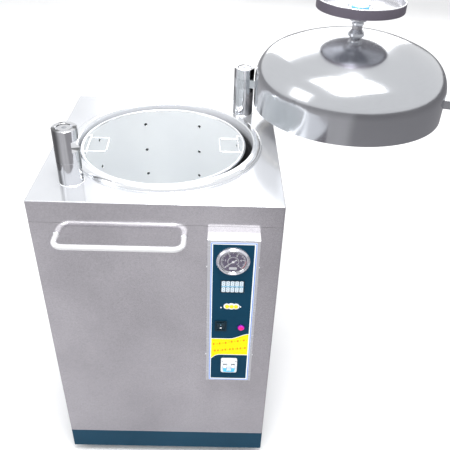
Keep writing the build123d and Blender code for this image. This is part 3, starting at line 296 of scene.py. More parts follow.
M["flange"] = brushed("flange_polished_steel", lin(240, 242, 245), (0.12, 0.20), None, 18.0, 0.02, 0.05, 0.02,
                      polar=(0, 0, 0.4, 60, 60), smear=0.03, metal=0.9)
M["mirror"] = brushed("mirror_polished_steel", lin(236, 237, 240), (0.05, 0.10), (1, 1, 40), 30.0, 0.02, 0.04, 0.01,
                      smear=0.02)
M["turned"] = brushed("turned_steel", lin(226, 227, 230), (0.10, 0.18), (1, 1, 90), 26.0, 0.03, 0.08, 0.03, smear=0.03)
# deep=0.800 paints shade on the vessel wall below 0.8 m
M["vessel"] = brushed("vessel_inner_steel", lin(236, 238, 243), (0.24, 0.36), None, 22.0, 0.05, 0.10, 0.04, speck=0.05,
                      polar=(0, 0, 0.4, 90, 90), metal=0.15, deep=0.800)
M["basket"] = brushed("basket_satin_steel", lin(249, 251, 253), (0.32, 0.44), None, 16.0, 0.03, 0.03, 0.03, speck=0.02,
                      polar=(-0.0062, -0.0025, 0.5, 60, 60), smear=0.03, metal=0.55)
M["basket_out"] = brushed("basket_outer_steel", lin(206, 209, 214), (0.20, 0.30), None, 16.0, 0.04, 0.10, 0.04, speck=0.04,
                          polar=(-0.0062, -0.0025, 0.5, 60, 60), smear=0.03, metal=0.95)
M["wire"] = brushed("electropolished_wire", lin(246, 248, 250), (0.12, 0.20), (1, 1, 10), 60.0, 0.02, 0.03, 0.02)
M["lid"] = brushed("lid_polished_steel", lin(208, 210, 214), (0.12, 0.20), None, 20.0, 0.03, 0.07, 0.02,
                   polar=(LIDX * MM, LIDY * MM, 0.4, 120, 60), smear=0.03)
M["lid_in"] = brushed("lid_inner_steel", lin(214, 216, 220), (0.18, 0.28), None, 20.0, 0.05, 0.10, 0.04,
                      polar=(LIDX * MM, LIDY * MM, 0.4, 140, 60))
M["beam"] = brushed("beam_ground_steel", lin(214, 216, 219), (0.16, 0.26), (1, 1, 30), 40.0, 0.04, 0.10, 0.05)
M["brass"] = brushed("nickel_brass", lin(206, 178, 112), (0.18, 0.30), (1, 1, 24), 50.0, 0.07, 0.12, 0.05, 0.05)
M["valve"] = brushed("valve_brass", lin(212, 184, 118), (0.20, 0.32), (1, 1, 14), 60.0, 0.08, 0.10, 0.08, 0.12)
M["sheath"] = brushed("element_sheath", lin(120, 104, 92), (0.30, 0.48), (1, 1, 1), 60.0, 0.25, 0.20, 0.12, 0.2)
M["frame_paint"] = moulded("frame_grey_enamel", lin(88, 92, 96), (0.38, 0.52), 500.0, 0.2)
M["plinth"] = moulded("plinth_teal_enamel", lin(20, 64, 87), (0.30, 0.40), 420.0, 0.18, 0.07, 0.5, coat=0.0,
                      edge_to=2.2, spec=0.18)
M["black"] = moulded("black_moulded_plastic", lin(26, 32, 36), (0.34, 0.46), 800.0, 0.20, 0.08, 0.6, edge_to=2.6, spec=0.2)
M["rocker"] = moulded("rocker_dark_plastic", lin(16, 42, 54), (0.30, 0.42), 800.0, 0.20, 0.08, 0.6, edge_to=2.2, spec=0.2)
M["rubber"] = moulded("foot_rubber", lin(38, 38, 40), (0.62, 0.80), 260.0, 0.5, 0.15, 0.5, edge_to=2.4, spec=0.3)
M["silicone"] = moulded("gasket_silicone", lin(214, 208, 196), (0.45, 0.58), 500.0, 0.2, 0.05, 0.2, edge_to=1.1)
M["breaker"] = moulded("breaker_white_plastic", lin(238, 242, 246), (0.26, 0.36), 700.0, 0.10, 0.02, 0.2, edge_to=1.1)
M["toggle"] = moulded("toggle_blue_plastic", lin(86, 168, 226), (0.24, 0.34), 700.0, 0.10, 0.05, 0.4, coat=0.3,
                      edge_to=1.6)
M["key_yellow"] = moulded("key_yellow_silicone", lin(250, 222, 20), (0.38, 0.48), 600.0, 0.2, 0.04, 0.3, edge_to=1.2)
M["key_white"] = moulded("key_white_plastic", lin(240, 243, 246), (0.28, 0.40), 700.0, 0.1, 0.02, 0.2, edge_to=1.05)
M["film_edge"] = moulded("film_pale_edge", lin(205, 214, 232), (0.24, 0.32), 900.0, 0.10, 0.03, 0.0)
M["film_blue"] = moulded("film_blue_line", lin(84, 134, 232), (0.24, 0.32), 900.0, 0.10, 0.03, 0.0)
M["film_white"] = moulded("film_white_line", lin(240, 246, 250), (0.24, 0.32), 900.0, 0.10, 0.02, 0.0)
M["film_teal"] = moulded("film_teal_field", lin(12, 60, 84), (0.34, 0.44), 900.0, 0.10, 0.05, 0.0, spec=0.08)
M["film_yellow"] = moulded("film_yellow_band", lin(248, 230, 3), (0.30, 0.40), 900.0, 0.10, 0.02, 0.0, spec=0.12)
M["film_orange"] = moulded("film_orange_marks", lin(244, 138, 14), (0.30, 0.40), 900.0, 0.10, 0.04, 0.0, spec=0.12)
M["film_sky"] = moulded("film_sky_line", lin(150, 208, 236), (0.24, 0.32), 900.0, 0.10, 0.03, 0.0)
M["film_cell"] = moulded("display_pale_cells", lin(176, 194, 204), (0.30, 0.40), 900.0, 0.06, 0.03, 0.0, spec=0.12)
M["display"] = moulded("display_dark_window", lin(20, 66, 88), (0.20, 0.28), 1200.0, 0.04, 0.04, 0.2, coat=0.0,
                       edge_to=1.6, spec=0.15)
M["dial"] = moulded("dial_dark_face", lin(104, 92, 124), (0.40, 0.50), 700.0, 0.06, 0.10, 0.0, spec=0.15)
M["dial_white"] = moulded("dial_white_print", lin(244, 244, 250), (0.34, 0.44), 900.0, 0.04, 0.02, 0.0)
M["dial_red"] = moulded("dial_red_print", lin(206, 46, 70), (0.34, 0.44), 900.0, 0.04, 0.04, 0.0)
M["wheel_band"] = brushed("wheel_dark_band", lin(116, 110, 122), (0.36, 0.50), (1, 1, 16), 70.0, 0.05, 0.14, 0.10, 0.16,
                          edge_to=1.8, metal=0.6)
# the web's strong radial dark streaks are painted reflection over its grain
M["wheel_bright"] = brushed("wheel_web_steel_painted_streaks", lin(232, 232, 236), (0.20, 0.34), None, 10.0, 0.04, 0.30, 0.08,
                            polar=(LIDX * MM, LIDY * MM, 14.0, 6, 2))
M["weld"] = brushed("weld_bead_steel", lin(196, 192, 190), (0.24, 0.42), (1, 1, 1), 160.0, 0.16, 0.12, 0.2)
M["dark_gap"] = moulded("dark_recess", lin(14, 14, 16), (0.6, 0.8), 400.0, 0.1, 0.1, 0.0)


def lagging():
    m = Mat("foil_lagging").set(metal=0.9)
    folds = m.voronoi(m.scaled(1, 1, 0.4), 24.0, "DISTANCE_TO_EDGE")
    crinkle = m.noise(m.scaled(1, 1, 1), 40.0, 6.0, 0.7, 1.2)
    m.base(m.mix(m.span(crinkle, 0.3, 0.7, 0, 1), lin(170, 172, 176), lin(222, 224, 226)))
    m.rough(m.span(crinkle, 0.3, 0.7, 0.22, 0.42))
    m.bump(crinkle, 0.6, 0.003)
    m.bump(folds, 0.3, 0.002)
    return m.m


def glass(name, tint, rough=0.02):
    m = Mat(name).set(trans=1.0, ior=1.45, base=tint)
    smear = m.noise(m.scaled(1, 1, 1), 40.0, 3.0, 0.5, 0.5)
    m.rough(m.span(smear, 0.35, 0.8, rough, rough + 0.05))
    m.bump(m.noise(m.scaled(1, 1, 1), 14.0, 2.0), 0.02, 0.0002)
    return m.m


def lens(name, deep, rim):
    m = Mat(name).set(trans=0.25, ior=1.49, spec=0.5, coat=0.4, coat_rough=0.05)
    ribs = m.noise(m.scaled(1, 1, 1), 260.0, 2.0)
    mp = m.scaled(1, 1, 1, loc=(-LAMP[0] * MM, 0, -LAMP[1] * MM))
    sep = m.n.new("ShaderNodeSeparateXYZ")
    m.link(mp, sep.inputs[0])
    r = m.math("SQRT", m.math("ADD", m.math("MULTIPLY", sep.outputs[0], sep.outputs[0]),
                              m.math("MULTIPLY", sep.outputs[2], sep.outputs[2])))
    col = m.ramp(m.span(r, 0.0, 0.0068, 0, 1), [(0.0, deep), (0.62, deep), (0.95, rim)])
    m.base(m.mix(m.span(ribs, 0.3, 0.7, 0, 0.3), col, shade(deep, 1.3)))
    m.link(col, m.b.inputs["Emission Color"])
    m.set(emit_power=0.35)
    m.rough(m.span(ribs, 0.3, 0.7, 0.10, 0.18))
    m.bump(ribs, 0.1, 0.0002)
    return m.m


def digits_mat():
    m = Mat("digit_segments").set(spec=0.4)
    v = m.noise(m.scaled(1, 1, 1), 300.0, 2.0)
    c = m.mix(m.span(v, 0.3, 0.7, 0, 1), lin(206, 216, 224), lin(224, 232, 240))
    m.base(c)
    m.link(c, m.b.inputs["Emission Color"])
    m.set(emit_power=0.12)
    m.rough(m.span(v, 0.3, 0.7, 0.3, 0.4))
    return m.m


def hub_cap_mat():
    m = Mat("hub_cap_blue").set(coat=0.35, coat_rough=0.1)
    g = m.noise(m.scaled(1, 1, 1), 500.0, 2.0)
    mp = m.scaled(1, 1, 1, loc=(-LIDX * MM, -LIDY * MM, 0))
    sep = m.n.new("ShaderNodeSeparateXYZ")
    m.link(mp, sep.inputs[0])
    r = m.math("SQRT", m.math("ADD", m.math("MULTIPLY", sep.outputs[0], sep.outputs[0]),
                              m.math("MULTIPLY", sep.outputs[1], sep.outputs[1])))
    m.base(m.ramp(m.span(r, 0.0, 0.020, 0, 1), [(0.0, lin(150, 222, 252)), (0.7, lin(166, 228, 250)), (1.0, lin(96, 178, 232))]))
    m.rough(m.span(g, 0.3, 0.7, 0.2, 0.3))
    m.bump(g, 0.1, 0.0001)
    return m.m


def lever_mat():
    """White toggles whose lower tips are moulded in blue."""
    m = Mat("breaker_lever_two_tone").set(spec=0.35)
    sep = m.n.new("ShaderNodeSeparateXYZ")
    m.link(m.scaled(1, 1, 1), sep.inputs[0])
    g = m.noise(m.scaled(1, 1, 1), 700.0, 2.0)
    edge_z = m.math("ADD", sep.outputs[2], m.math("MULTIPLY", g, 0.0001))
    m.base(m.mix(m.span(edge_z, 0.3914, 0.3920, 0, 1), lin(70, 176, 240), lin(240, 244, 248)))
    m.rough(m.span(g, 0.3, 0.7, 0.28, 0.38))
    m.bump(g, 0.08, 0.0001)
    return m.m


def post_mat(name, cx, cy, stops):
    """Polished tube: upright dark and light bands of painted reflection at set angles round the tube, drawn fine
    streaks and a soft mottling.
    """
    m = Mat(name).set(metal=1.0)
    mp = m.scaled(1, 1, 1, loc=(-cx * MM, -cy * MM, 0))
    sep = m.n.new("ShaderNodeSeparateXYZ")
    m.link(mp, sep.inputs[0])
    wob = m.noise(m.scaled(1, 1, 0.25), 60.0, 3.0)
    ang = m.math("ADD", m.math("ARCTAN2", sep.outputs[1], sep.outputs[0]), m.math("MULTIPLY", m.math("SUBTRACT", wob, 0.5), 0.22))
    # painted reflection: the ramp stops darken or lighten the tube by angle round its axis
    band = m.ramp(m.span(ang, -math.pi, math.pi, 0, 1), stops)
    streak = m.noise(m.scaled(40, 40, 1), 30.0, 4.0)
    cloud = m.noise(m.scaled(1, 1, 1), 22.0, 3.0)
    col = m.mix(1.0, band, lin(240, 241, 244), "MULTIPLY")
    col = m.mix(m.span(cloud, 0.35, 0.7, 0, 0.10), col, lin(120, 122, 128))
    m.base(m.mix(m.span(streak, 0.35, 0.7, 0, 0.10), col, lin(150, 152, 156)))
    m.rough(m.span(streak, 0.3, 0.7, 0.06, 0.14))
    m.bump(streak, 0.01, 0.0001)
    return m.m


# stops of the painted reflection bands on each post, by angle round its axis
M["latch_post"] = post_mat("latch_post_polished", -POST, -POST, [
    (0.0, 0.90), (0.03, 0.35), (0.06, 0.22), (0.11, 0.14), (0.165, 0.18), (0.20, 0.55), (0.23, 1.0), (0.43, 1.0), (0.46, 0.35),
    (0.50, 0.12), (0.53, 0.30), (0.57, 0.95), (0.74, 1.0), (0.79, 0.35), (0.83, 0.25), (0.88, 0.95)])
M["hinge_post"] = post_mat("hinge_post_polished", POST, POST, [
    (0.0, 0.90), (0.04, 0.35), (0.08, 0.30), (0.12, 0.80), (0.20, 0.95), (0.26, 1.0), (0.33, 0.85), (0.37, 0.30), (0.41, 0.12), (0.45, 0.35),
    (0.49, 0.90), (0.60, 1.0), (0.70, 0.95), (0.76, 0.30), (0.80, 0.25), (0.87, 0.90)])
M["lever"] = lever_mat()
M["lagging"] = lagging()
M["glass"] = glass("gauge_clear_glass", (1, 1, 1, 1))
M["lens"] = lens("lamp_magenta_lens", lin(240, 10, 120), lin(170, 30, 190))
M["digits"] = digits_mat()
M["hub_cap"] = hub_cap_mat()
M["lamp_rim"] = brushed("lamp_violet_rim", lin(132, 72, 178), (0.16, 0.26), (1, 1, 30), 60.0, 0.06, 0.10, 0.05, edge_to=1.6)

FINISH = {
    "rubber_feet": "rubber", "base_frame": "plinth", "body_wrap": "panel", "rear_panel": "panel",
    "deck_panel": "deck", "inner_frame": "frame_paint", "vessel_shell": "vessel", "vessel_flange": "flange",
    "vessel_skirt": "frame_paint", "insulation_jacket": "lagging", "heating_element": "sheath",
    "heater_glands": "brass", "rack_plate": "vessel", "drain_pipe": "vessel", "drain_valve": "valve",
    "drain_lever": "turned", "relief_valve": "valve", "relief_ring": "wire", "mains_gland": "black",
    "front_handle": "handle", "control_housing": "housing", "housing_screws": "wire",
    "control_overlay": "film_edge", "gauge_case": "bezel", "gauge_dial": "dial", "gauge_pointer": "dial_white",
    "gauge_glass": "glass", "display_module": "display", "key_bezel": "key_white", "key_left": "key_yellow",
    "key_middle": "key_yellow", "key_right": "key_yellow", "status_leds": "key_white", "rocker_frame": "rocker",
    "rocker_key": "rocker", "lamp_bezel": "lamp_rim", "lamp_lens": "lens", "breaker_body": "breaker",
    "breaker_toggle": "lever", "hinge_column": "hinge_post", "hinge_pin": "turned", "hinge_cap": "hinge_post",
    "latch_column": "latch_post", "latch_head": "latch_post", "latch_cap": "latch_post", "latch_bolt": "turned",
    "basket_body": "basket", "basket_rim": "wire", "bail_right": "wire", "bail_left": "wire", "beam": "beam",
    "beam_nut": "brass", "lid_plate": "lid_in", "lid_gasket": "silicone", "lid_cover": "lid",
    "thrust_bearing": "turned", "bearing_retainer": "turned", "lid_screw": "turned", "hand_wheel": "wheel_band",
    "wheel_cap": "hub_cap",
}
for name, key in FINISH.items():
    slots = NODES[name].data.materials
    for i in range(len(slots)):
        slots[i] = M[key]
    if not len(slots):
        slots.append(M[key])


# the deck's folded hems carry the cabinet's satin finish, its top is polished
deck = NODES["deck_panel"].data
deck.materials.append(M["panel"])
for poly in deck.polygons:
    c = poly.center
    if abs(poly.normal.z) < 0.5 and max(abs(c.x) - 0.2500, abs(c.y) - 0.2550) > 0:
        poly.material_index = len(deck.materials) - 1


# the mouth's inner wall is pickled rather than polished
mouth = NODES["vessel_flange"].data
mouth.materials.append(M["vessel"])
for poly in mouth.polygons:
    if abs(poly.normal.z) < 0.5 and math.hypot(poly.center.x, poly.center.y) < 0.2015:
        poly.material_index = len(mouth.materials) - 1

# the basket's outside is drawn bright steel, its inside blasted and paler
bucket = NODES["basket_body"].data
bucket.materials.append(M["basket_out"])
for poly in bucket.polygons:
    dx, dy = poly.center.x - BKX * MM, poly.center.y - BKY * MM
    outward = poly.normal.x * dx + poly.normal.y * dy
    if (abs(poly.normal.z) < 0.5 and outward > 0 and math.hypot(dx, dy) > 0.1818) or (poly.normal.z < -0.5 and poly.center.z < 0.338):
        poly.material_index = len(bucket.materials) - 1

# the upper face of the control housing takes the whiter, polished handle finish: painted light, the top drawn whiter as
# if lit from above
box = NODES["control_housing"].data
box.materials.append(M["handle"])
for poly in box.polygons:
    if poly.normal.z > 0.5 and poly.center.z > 0.745:
        poly.material_index = len(box.materials) - 1


# ------------------------------------------------------------------ mesh helpers (all coordinates in mm)
def make(name, verts, faces, mat, body, smooth=True, angle=35.0):
    me = bpy.data.meshes.new(name)
    me.from_pydata([(x * MM, y * MM, z * MM) for x, y, z in verts], [], faces)
    me.validate()
    bm = bmesh.new()
    bm.from_mesh(me)
    bmesh.ops.remove_doubles(bm, verts=bm.verts, dist=1e-7)
    bmesh.ops.recalc_face_normals(bm, faces=bm.faces)
    limit = math.radians(angle)
    for e in bm.edges:
        e.smooth = not (len(e.link_faces) == 2 and e.calc_face_angle(0) > limit)
    for f in bm.faces:
        f.smooth = smooth
    bm.to_mesh(me)
    bm.free()
    me.materials.append(M[mat])
    o = bpy.data.objects.new(name, me)
    bpy.context.scene.collection.objects.link(o)
    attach(o, body)
    return o


class Parts:
    """Collects several closed shapes into one mesh."""

    def __init__(self):
        self.v, self.f = [], []

    def add(self, verts, faces):
        k = len(self.v)
        self.v += list(verts)
        self.f += [tuple(i + k for i in f) for f in faces]
        return self

    def lathe(self, profile, centre=(0, 0, 0), segs=96, axis="z", closed=True, arc=360.0, start=0.0):
        """Revolves (radius, height) round an axis through centre. 'y' heights run toward -Y."""
        verts, faces = [], []
        n = len(profile)
        full = arc >= 360.0
        steps = segs if full else segs + 1
        for i in range(steps):
            a = math.radians(start) + math.radians(arc) * i / segs
            for r, h in profile:
                if axis == "z":
                    verts.append((centre[0] + r * math.cos(a), centre[1] + r * math.sin(a), centre[2] + h))
                elif axis == "y":
                    verts.append((centre[0] + r * math.cos(a), centre[1] - h, centre[2] + r * math.sin(a)))
                else:
                    verts.append((centre[0] + h, centre[1] + r * math.cos(a), centre[2] + r * math.sin(a)))
        m = n if closed else n - 1
        for i in range(segs):
            j = (i + 1) % steps
            for k in range(m):
                l = (k + 1) % n
                faces.append((i * n + k, j * n + k, j * n + l, i * n + l))
        if not full:
            faces.append(tuple(range(n)))
            faces.append(tuple(reversed(range((steps - 1) * n, steps * n))))
        return self.add(verts, faces)

    def ring(self, centre, r, tube, normal="z", segs=72, sides=12, arc=360.0, start=0.0, squash=1.0):
        prof = [(r + tube * math.cos(2 * math.pi * k / sides), squash * tube * math.sin(2 * math.pi * k / sides)) for k in range(sides)]
        return self.lathe(prof, centre, segs, normal, True, arc, start)

    def disc(self, centre, profile, axis="z", segs=40):
        """A solid of revolution that closes on its axis: profile starts and ends at radius 0."""
        return self.lathe([(max(r, 0.0), h) for r, h in profile], centre, segs, axis, False)

    def block(self, lo, hi, bevel=0.4):
        """A box with all its edges bevelled."""
        bm = bmesh.new()
        bmesh.ops.create_cube(bm, size=1.0)
        for v in bm.verts:
            v.co = Vector([lo[i] if v.co[i] < 0 else hi[i] for i in range(3)])
        if bevel:
            bmesh.ops.bevel(bm, geom=list(bm.edges), offset=bevel, segments=2, profile=0.6, affect="EDGES")
        bm.verts.ensure_lookup_table()
        vs = [tuple(v.co) for v in bm.verts]
        fs = [tuple(v.index for v in f.verts) for f in bm.faces]
        bm.free()
        return self.add(vs, fs)

    def slab(self, outline, y0, y1):
        """Prism with outline (x, z) between two y values."""
        n = len(outline)
        vs = [(x, y0, z) for x, z in outline] + [(x, y1, z) for x, z in outline]
        fs = [tuple(range(n)), tuple(range(2 * n - 1, n - 1, -1))]
        fs += [(i, i + n, (i + 1) % n + n, (i + 1) % n) for i in range(n)]
        return self.add(vs, fs)

    def tube(self, pts, r, sides=12, close=False):
        """Tube round a polyline, with round ends."""
        P = [Vector(p) for p in pts]
        n = len(P)
        up = Vector((0.13, 0.29, 0.95)).normalized()
        verts, faces = [], []
        prev = None
        for i in range(n):
            if close:
                t = (P[(i + 1) % n] - P[i - 1]).normalized()
            else:
                t = (P[min(i + 1, n - 1)] - P[max(i - 1, 0)]).normalized()
            u = (prev if prev is not None else up)
            u = (u - t * u.dot(t)).normalized()
            prev = u
            w = t.cross(u)
            for k in range(sides):
                a = 2 * math.pi * k / sides
                verts.append(tuple(P[i] + (u * math.cos(a) + w * math.sin(a)) * r))
        for i in range(n if close else n - 1):
            j = (i + 1) % n
            for k in range(sides):
                l = (k + 1) % sides
                faces.append((i * sides + k, i * sides + l, j * sides + l, j * sides + k))
        if not close:
            faces.append(tuple(range(sides - 1, -1, -1)))
            faces.append(tuple(range((n - 1) * sides, n * sides)))
        return self.add(verts, faces)

    def build(self, name, mat, body, slot=None, smooth=True, angle=35.0):
        return make(name, self.v, self.f, mat, body, smooth, angle)


def flat(name, outlines, y, thick, mat, body):
    """Thin printed layer facing -Y from closed (x, z) outlines; inner outlines are holes."""
    cu = bpy.data.curves.new(name + "_outline", "CURVE")
    cu.dimensions = "2D"
    cu.fill_mode = "BOTH"
    cu.extrude = 0.0
    for pts in outlines:
        sp = cu.splines.new("POLY")
        sp.points.add(len(pts) - 1)
        for p, (x, z) in zip(sp.points, pts):
            p.co = (x, z, 0, 1)
        sp.use_cyclic_u = True
    ob = bpy.data.objects.new(name + "_tmp", cu)
    me = bpy.data.meshes.new_from_object(ob)
    bpy.data.objects.remove(ob)
    bpy.data.curves.remove(cu)
    bm = bmesh.new()
    bm.from_mesh(me)
    bmesh.ops.remove_doubles(bm, verts=bm.verts, dist=1e-4)
    if bm.faces and sum(f.normal.z for f in bm.faces) < 0:
        bmesh.ops.reverse_faces(bm, faces=bm.faces)
    ret = bmesh.ops.extrude_face_region(bm, geom=list(bm.faces))
    top = [g for g in ret["geom"] if isinstance(g, bmesh.types.BMVert)]
    for v in top:
        v.co.z = thick
    # plane (x, z, up) to the frame: x -> x, z -> z, height -> -y
    for v in bm.verts:
        x, z, h = v.co
        v.co = (x * MM, (y - h) * MM, z * MM)
    bmesh.ops.recalc_face_normals(bm, faces=bm.faces)
    bm.to_mesh(me)
    bm.free()
    me.name = name
    me.materials.clear()
    me.materials.append(M[mat])
    o = bpy.data.objects.new(name, me)
    bpy.context.scene.collection.objects.link(o)
    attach(o, body)
    return o


def rrect(x0, z0, x1, z1, r, n=6):
    pts = []
    for cx, cz, a0 in ((x1 - r, z1 - r, 0), (x0 + r, z1 - r, 90), (x0 + r, z0 + r, 180), (x1 - r, z0 + r, 270)):
        for i in range(n + 1):
            a = math.radians(a0 + 90 * i / n)
            pts.append((cx + r * math.cos(a), cz + r * math.sin(a)))
    return pts


def circle(cx, cz, r, n=64):
    return [(cx + r * math.cos(2 * math.pi * i / n), cz + r * math.sin(2 * math.pi * i / n)) for i in range(n)]


# ------------------------------------------------------------------ control overlay print
HOLES = [
    circle(GAUGE[0], GAUGE[1], 30.9), rrect(DISPLAY[0] - 24.9, DISPLAY[1] - 16.9, DISPLAY[0] + 24.9, DISPLAY[1] + 16.9, 0.3),
    rrect(ROCKER[0] - 10.4, ROCKER[1] - 12.9, ROCKER[0] + 10.4, ROCKER[1] + 12.9, 0.3), circle(LAMP[0], LAMP[1], 5.9, 32),
    rrect(KEYS_X[1] - 14.4, KEY_Z - 5.4, KEYS_X[1] + 14.4, KEY_Z + 5.4, 0.3),
    circle(175.6, 579, 1.58, 16), circle(133.8, 576, 1.58, 16),
]
BRK_HOLE = rrect(BREAKER[0] - 17.9, BREAKER[1] - 21.4, BREAKER[0] + 17.9, BREAKER[1] + 21.4, 0.3)
Y1 = OVER_Y - 0.001
flat("overlay_blue_line", [rrect(110.7, 342.2, 201.8, 749.3, 2.2), rrect(112.2, 343.7, 200.3, 747.8, 1.4)], Y1, 0.06,
     "film_blue", "cabinet")
flat("overlay_white_line", [rrect(112.3, 343.8, 200.2, 747.7, 1.4), rrect(114.2, 347.2, 197.4, 745.6, 0.4)], Y1, 0.06,
     "film_white", "cabinet")


def wave_top(x):
    """Upper edge of the yellow band: level, then a smooth rise to the right."""
    t = min(max((x - 152.0) / 46.0, 0), 1)
    return 479.5 + 15.5 * (t * t * (3 - 2 * t)) ** 1.15


def wave_low(x):
    """Lower edge of the yellow band: a rise at the left, then level."""
    t = min(max((x - 113.5) / 22.0, 0), 1)
    return 414.0 + 15.0 * (1 - (1 - t) ** 2.2)


FX0, FX1, FZ0, FZ1 = 114.1, 197.5, 347.1, 745.7
xs = [FX0 + (FX1 - FX0) * i / 40 for i in range(41)]
upper_field = [(FX0, FZ1)] + [(x, wave_top(x) + 1.6) for x in xs] + [(FX1, FZ1)]
flat("overlay_teal_upper", [upper_field] + HOLES, Y1, 0.05, "film_teal", "cabinet")
lower_field = [(FX0, FZ0), (FX1, FZ0)] + [(x, wave_low(x) - 1.5) for x in reversed(xs)]
flat("overlay_teal_lower", [lower_field, BRK_HOLE], Y1, 0.05, "film_teal", "cabinet")
flat("overlay_white_waves", [
    [(x, wave_top(x) + 1.6) for x in xs] + [(x, wave_top(x)) for x in reversed(xs)],
    [(x, wave_low(x)) for x in xs] + [(x, wave_low(x) - 1.5) for x in reversed(xs)],
], Y1, 0.07, "film_white", "cabinet")
flat("overlay_yellow_band", [[(x, wave_top(x)) for x in xs] + [(x, wave_low(x)) for x in reversed(xs)]], Y1, 0.05,
     "film_yellow", "cabinet")

# two slanting rows of dots and short dashes on the yellow band
marks = []
for row, (z0, rise) in enumerate(((461.0, 14.0), (439.0, 13.0))):
    x = 118.0
    k = 0
    while x < 193.0:
        t = (x - 114.0) / 83.0
        z = z0 + rise * t + (2.0 if row == 0 and x > 150 else 0)
        big = (k % 3 == 0) == (row == 0)
        w, h = (3.4, 2.6) if big else (1.2, 1.2)
        s = 0.26
        marks.append([(x, z - h + s * 0), (x + w, z - h + s * w), (x + w, z + h + s * w), (x, z + h)])
        x += w + (3.4 if big else 2.2)
        k += 1
flat("overlay_orange_marks", marks, Y1 - 0.05, 0.03, "film_orange", "cabinet")

# ------------------------------------------------------------------ gauge: printed scale, inner ring, numerals
GX, GZ = GAUGE
DIAL_Y = -289.8


def polar_pt(r, deg):
    a = math.radians(deg)
    return (GX + r * math.cos(a), GZ + r * math.sin(a))


def sector(r0, r1, a0, a1, n=24):
    return [polar_pt(r0, a0 + (a1 - a0) * i / n) for i in range(n + 1)] + [polar_pt(r1, a1 - (a1 - a0) * i / n) for i in range(n + 1)]


ticks = []
A0, A1 = 225.0, -45.0
for i in range(51):
    a = A0 + (A1 - A0) * i / 50
    main = i % 10 == 0
    half = i % 5 == 0
    r0 = 18.6 if main else (20.4 if half else 21.6)
    wid = 0.95 if main else (0.65 if half else 0.32)
    d = math.degrees(wid / 22.0) / 1.0
    ticks.append([polar_pt(r0, a - d * 0.8), polar_pt(24.0, a - d * 0.8), polar_pt(24.0, a + d * 0.8), polar_pt(r0, a + d * 0.8)])
flat("dial_scale_ticks", ticks, DIAL_Y, 0.05, "dial_white", "cabinet")
flat("dial_scale_arc", [sector(24.2, 25.0, A1, A0, 90)], DIAL_Y, 0.05, "dial_white", "cabinet")
inner = []
for i in range(26):
    a = A0 + (A1 - A0) * i / 25
    r0 = 8.6 if i % 5 == 0 else 9.6
    inner.append([polar_pt(r0, a - 1.6), polar_pt(10.8, a - 1.6), polar_pt(10.8, a + 1.6), polar_pt(r0, a + 1.6)])
flat("dial_inner_scale", inner + [sector(11.0, 11.8, A1, A0, 70)], DIAL_Y, 0.05, "dial_white", "cabinet")
flat("dial_red_arc", [sector(25.1, 26.3, -45.0, 2.0, 20)], DIAL_Y, 0.05, "dial_red", "cabinet")
flat("dial_lower_plate", [rrect(GX - 8.0, GZ - 21.5, GX + 8.0, GZ - 14.6, 1.8)], DIAL_Y, 0.05, "dial_white", "cabinet")


def text_mesh(name, items, y, thick, mat, body, slot=None):
    """Small numerals facing -Y: items are (string, x, z, size)."""
    P_ = Parts()
    for s, x, z, size in items:
        cu = bpy.data.curves.new("num", "FONT")
        cu.body = s
        cu.size = size
        cu.align_x = "CENTER"
        cu.align_y = "CENTER"
        cu.extrude = thick / 2
        cu.offset = size * 0.03
        ob = bpy.data.objects.new("num", cu)
        me = bpy.data.meshes.new_from_object(ob)
        vs = [(x + v.co.x, y - thick / 2 - v.co.z, z + v.co.y) for v in me.vertices]
        P_.add(vs, [tuple(p.vertices) for p in me.polygons])
        bpy.data.objects.remove(ob)
        bpy.data.curves.remove(cu)
        bpy.data.meshes.remove(me)
    return P_.build(name, mat, body, slot, smooth=False)


nums = []
for i in range(6):
    a = A0 + (A1 - A0) * i / 5
    x, z = polar_pt(15.6, a)
    nums.append(("%d" % i, x, z, 7.0))
text_mesh("dial_numerals", nums, DIAL_Y, 0.06, "dial_white", "cabinet", "gauge_face")
# stepped inner flange between dial and bezel
Parts().lathe([(28.6, 289.85), (28.6, 292.5), (26.9, 290.1), (26.9, 289.85)], (GX, 0, GZ), 96, "y").build(
    "gauge_inner_ring", "turned", "cabinet", "polished_steel")
# pointer hub cap rides with the pointer
Parts().disc((GX, 0, GZ), [(0, 292.45), (1.4, 292.4), (2.3, 292.1), (2.6, 291.8), (2.6, 291.75), (0, 291.75)], "y", 40).build(
    "pointer_hub_cap", "turned", "needle", "polished_steel")

# ------------------------------------------------------------------ display: bezel frame, two rows of digits, line
DX, DZ = DISPLAY
DY = OVER_Y - 0.6
SEG = {
    "0": "abcdef", "1": "bc", "2": "abged", "3": "abgcd", "4": "fgbc", "5": "afgcd", "6": "afgedc", "7": "abc",
    "8": "abcdefg", "9": "abcdfg",
}


def seg_digit(ch, x, z, w, h, t, lean=0.08):
    """Seven-segment outlines for one figure, lower left corner at x, z."""
    out = []
    hh = h / 2
    g = 0.22
    shapes = {
        "a": (0, h, 1), "d": (0, 0, 1), "g": (0, hh, 1),
        "f": (0, hh, 0), "b": (w, hh, 0), "e": (0, 0, 0), "c": (w, 0, 0),
    }
    for s in SEG[ch]:
        sx, sz, horizontal = shapes[s]
        if horizontal:
            p = [(g, 0), (g + t / 2, t / 2), (w - g - t / 2, t / 2), (w - g, 0), (w - g - t / 2, -t / 2), (g + t / 2, -t / 2)]
            p = [(a, b + sz) for a, b in p]
        else:
            p = [(0, g), (-t / 2, g + t / 2), (-t / 2, hh - g - t / 2), (0, hh - g), (t / 2, hh - g - t / 2), (t / 2, g + t / 2)]
            p = [(a + sx, b + sz) for a, b in p]
        out.append([(x + a + lean * b, z + b) for a, b in p])
    return out


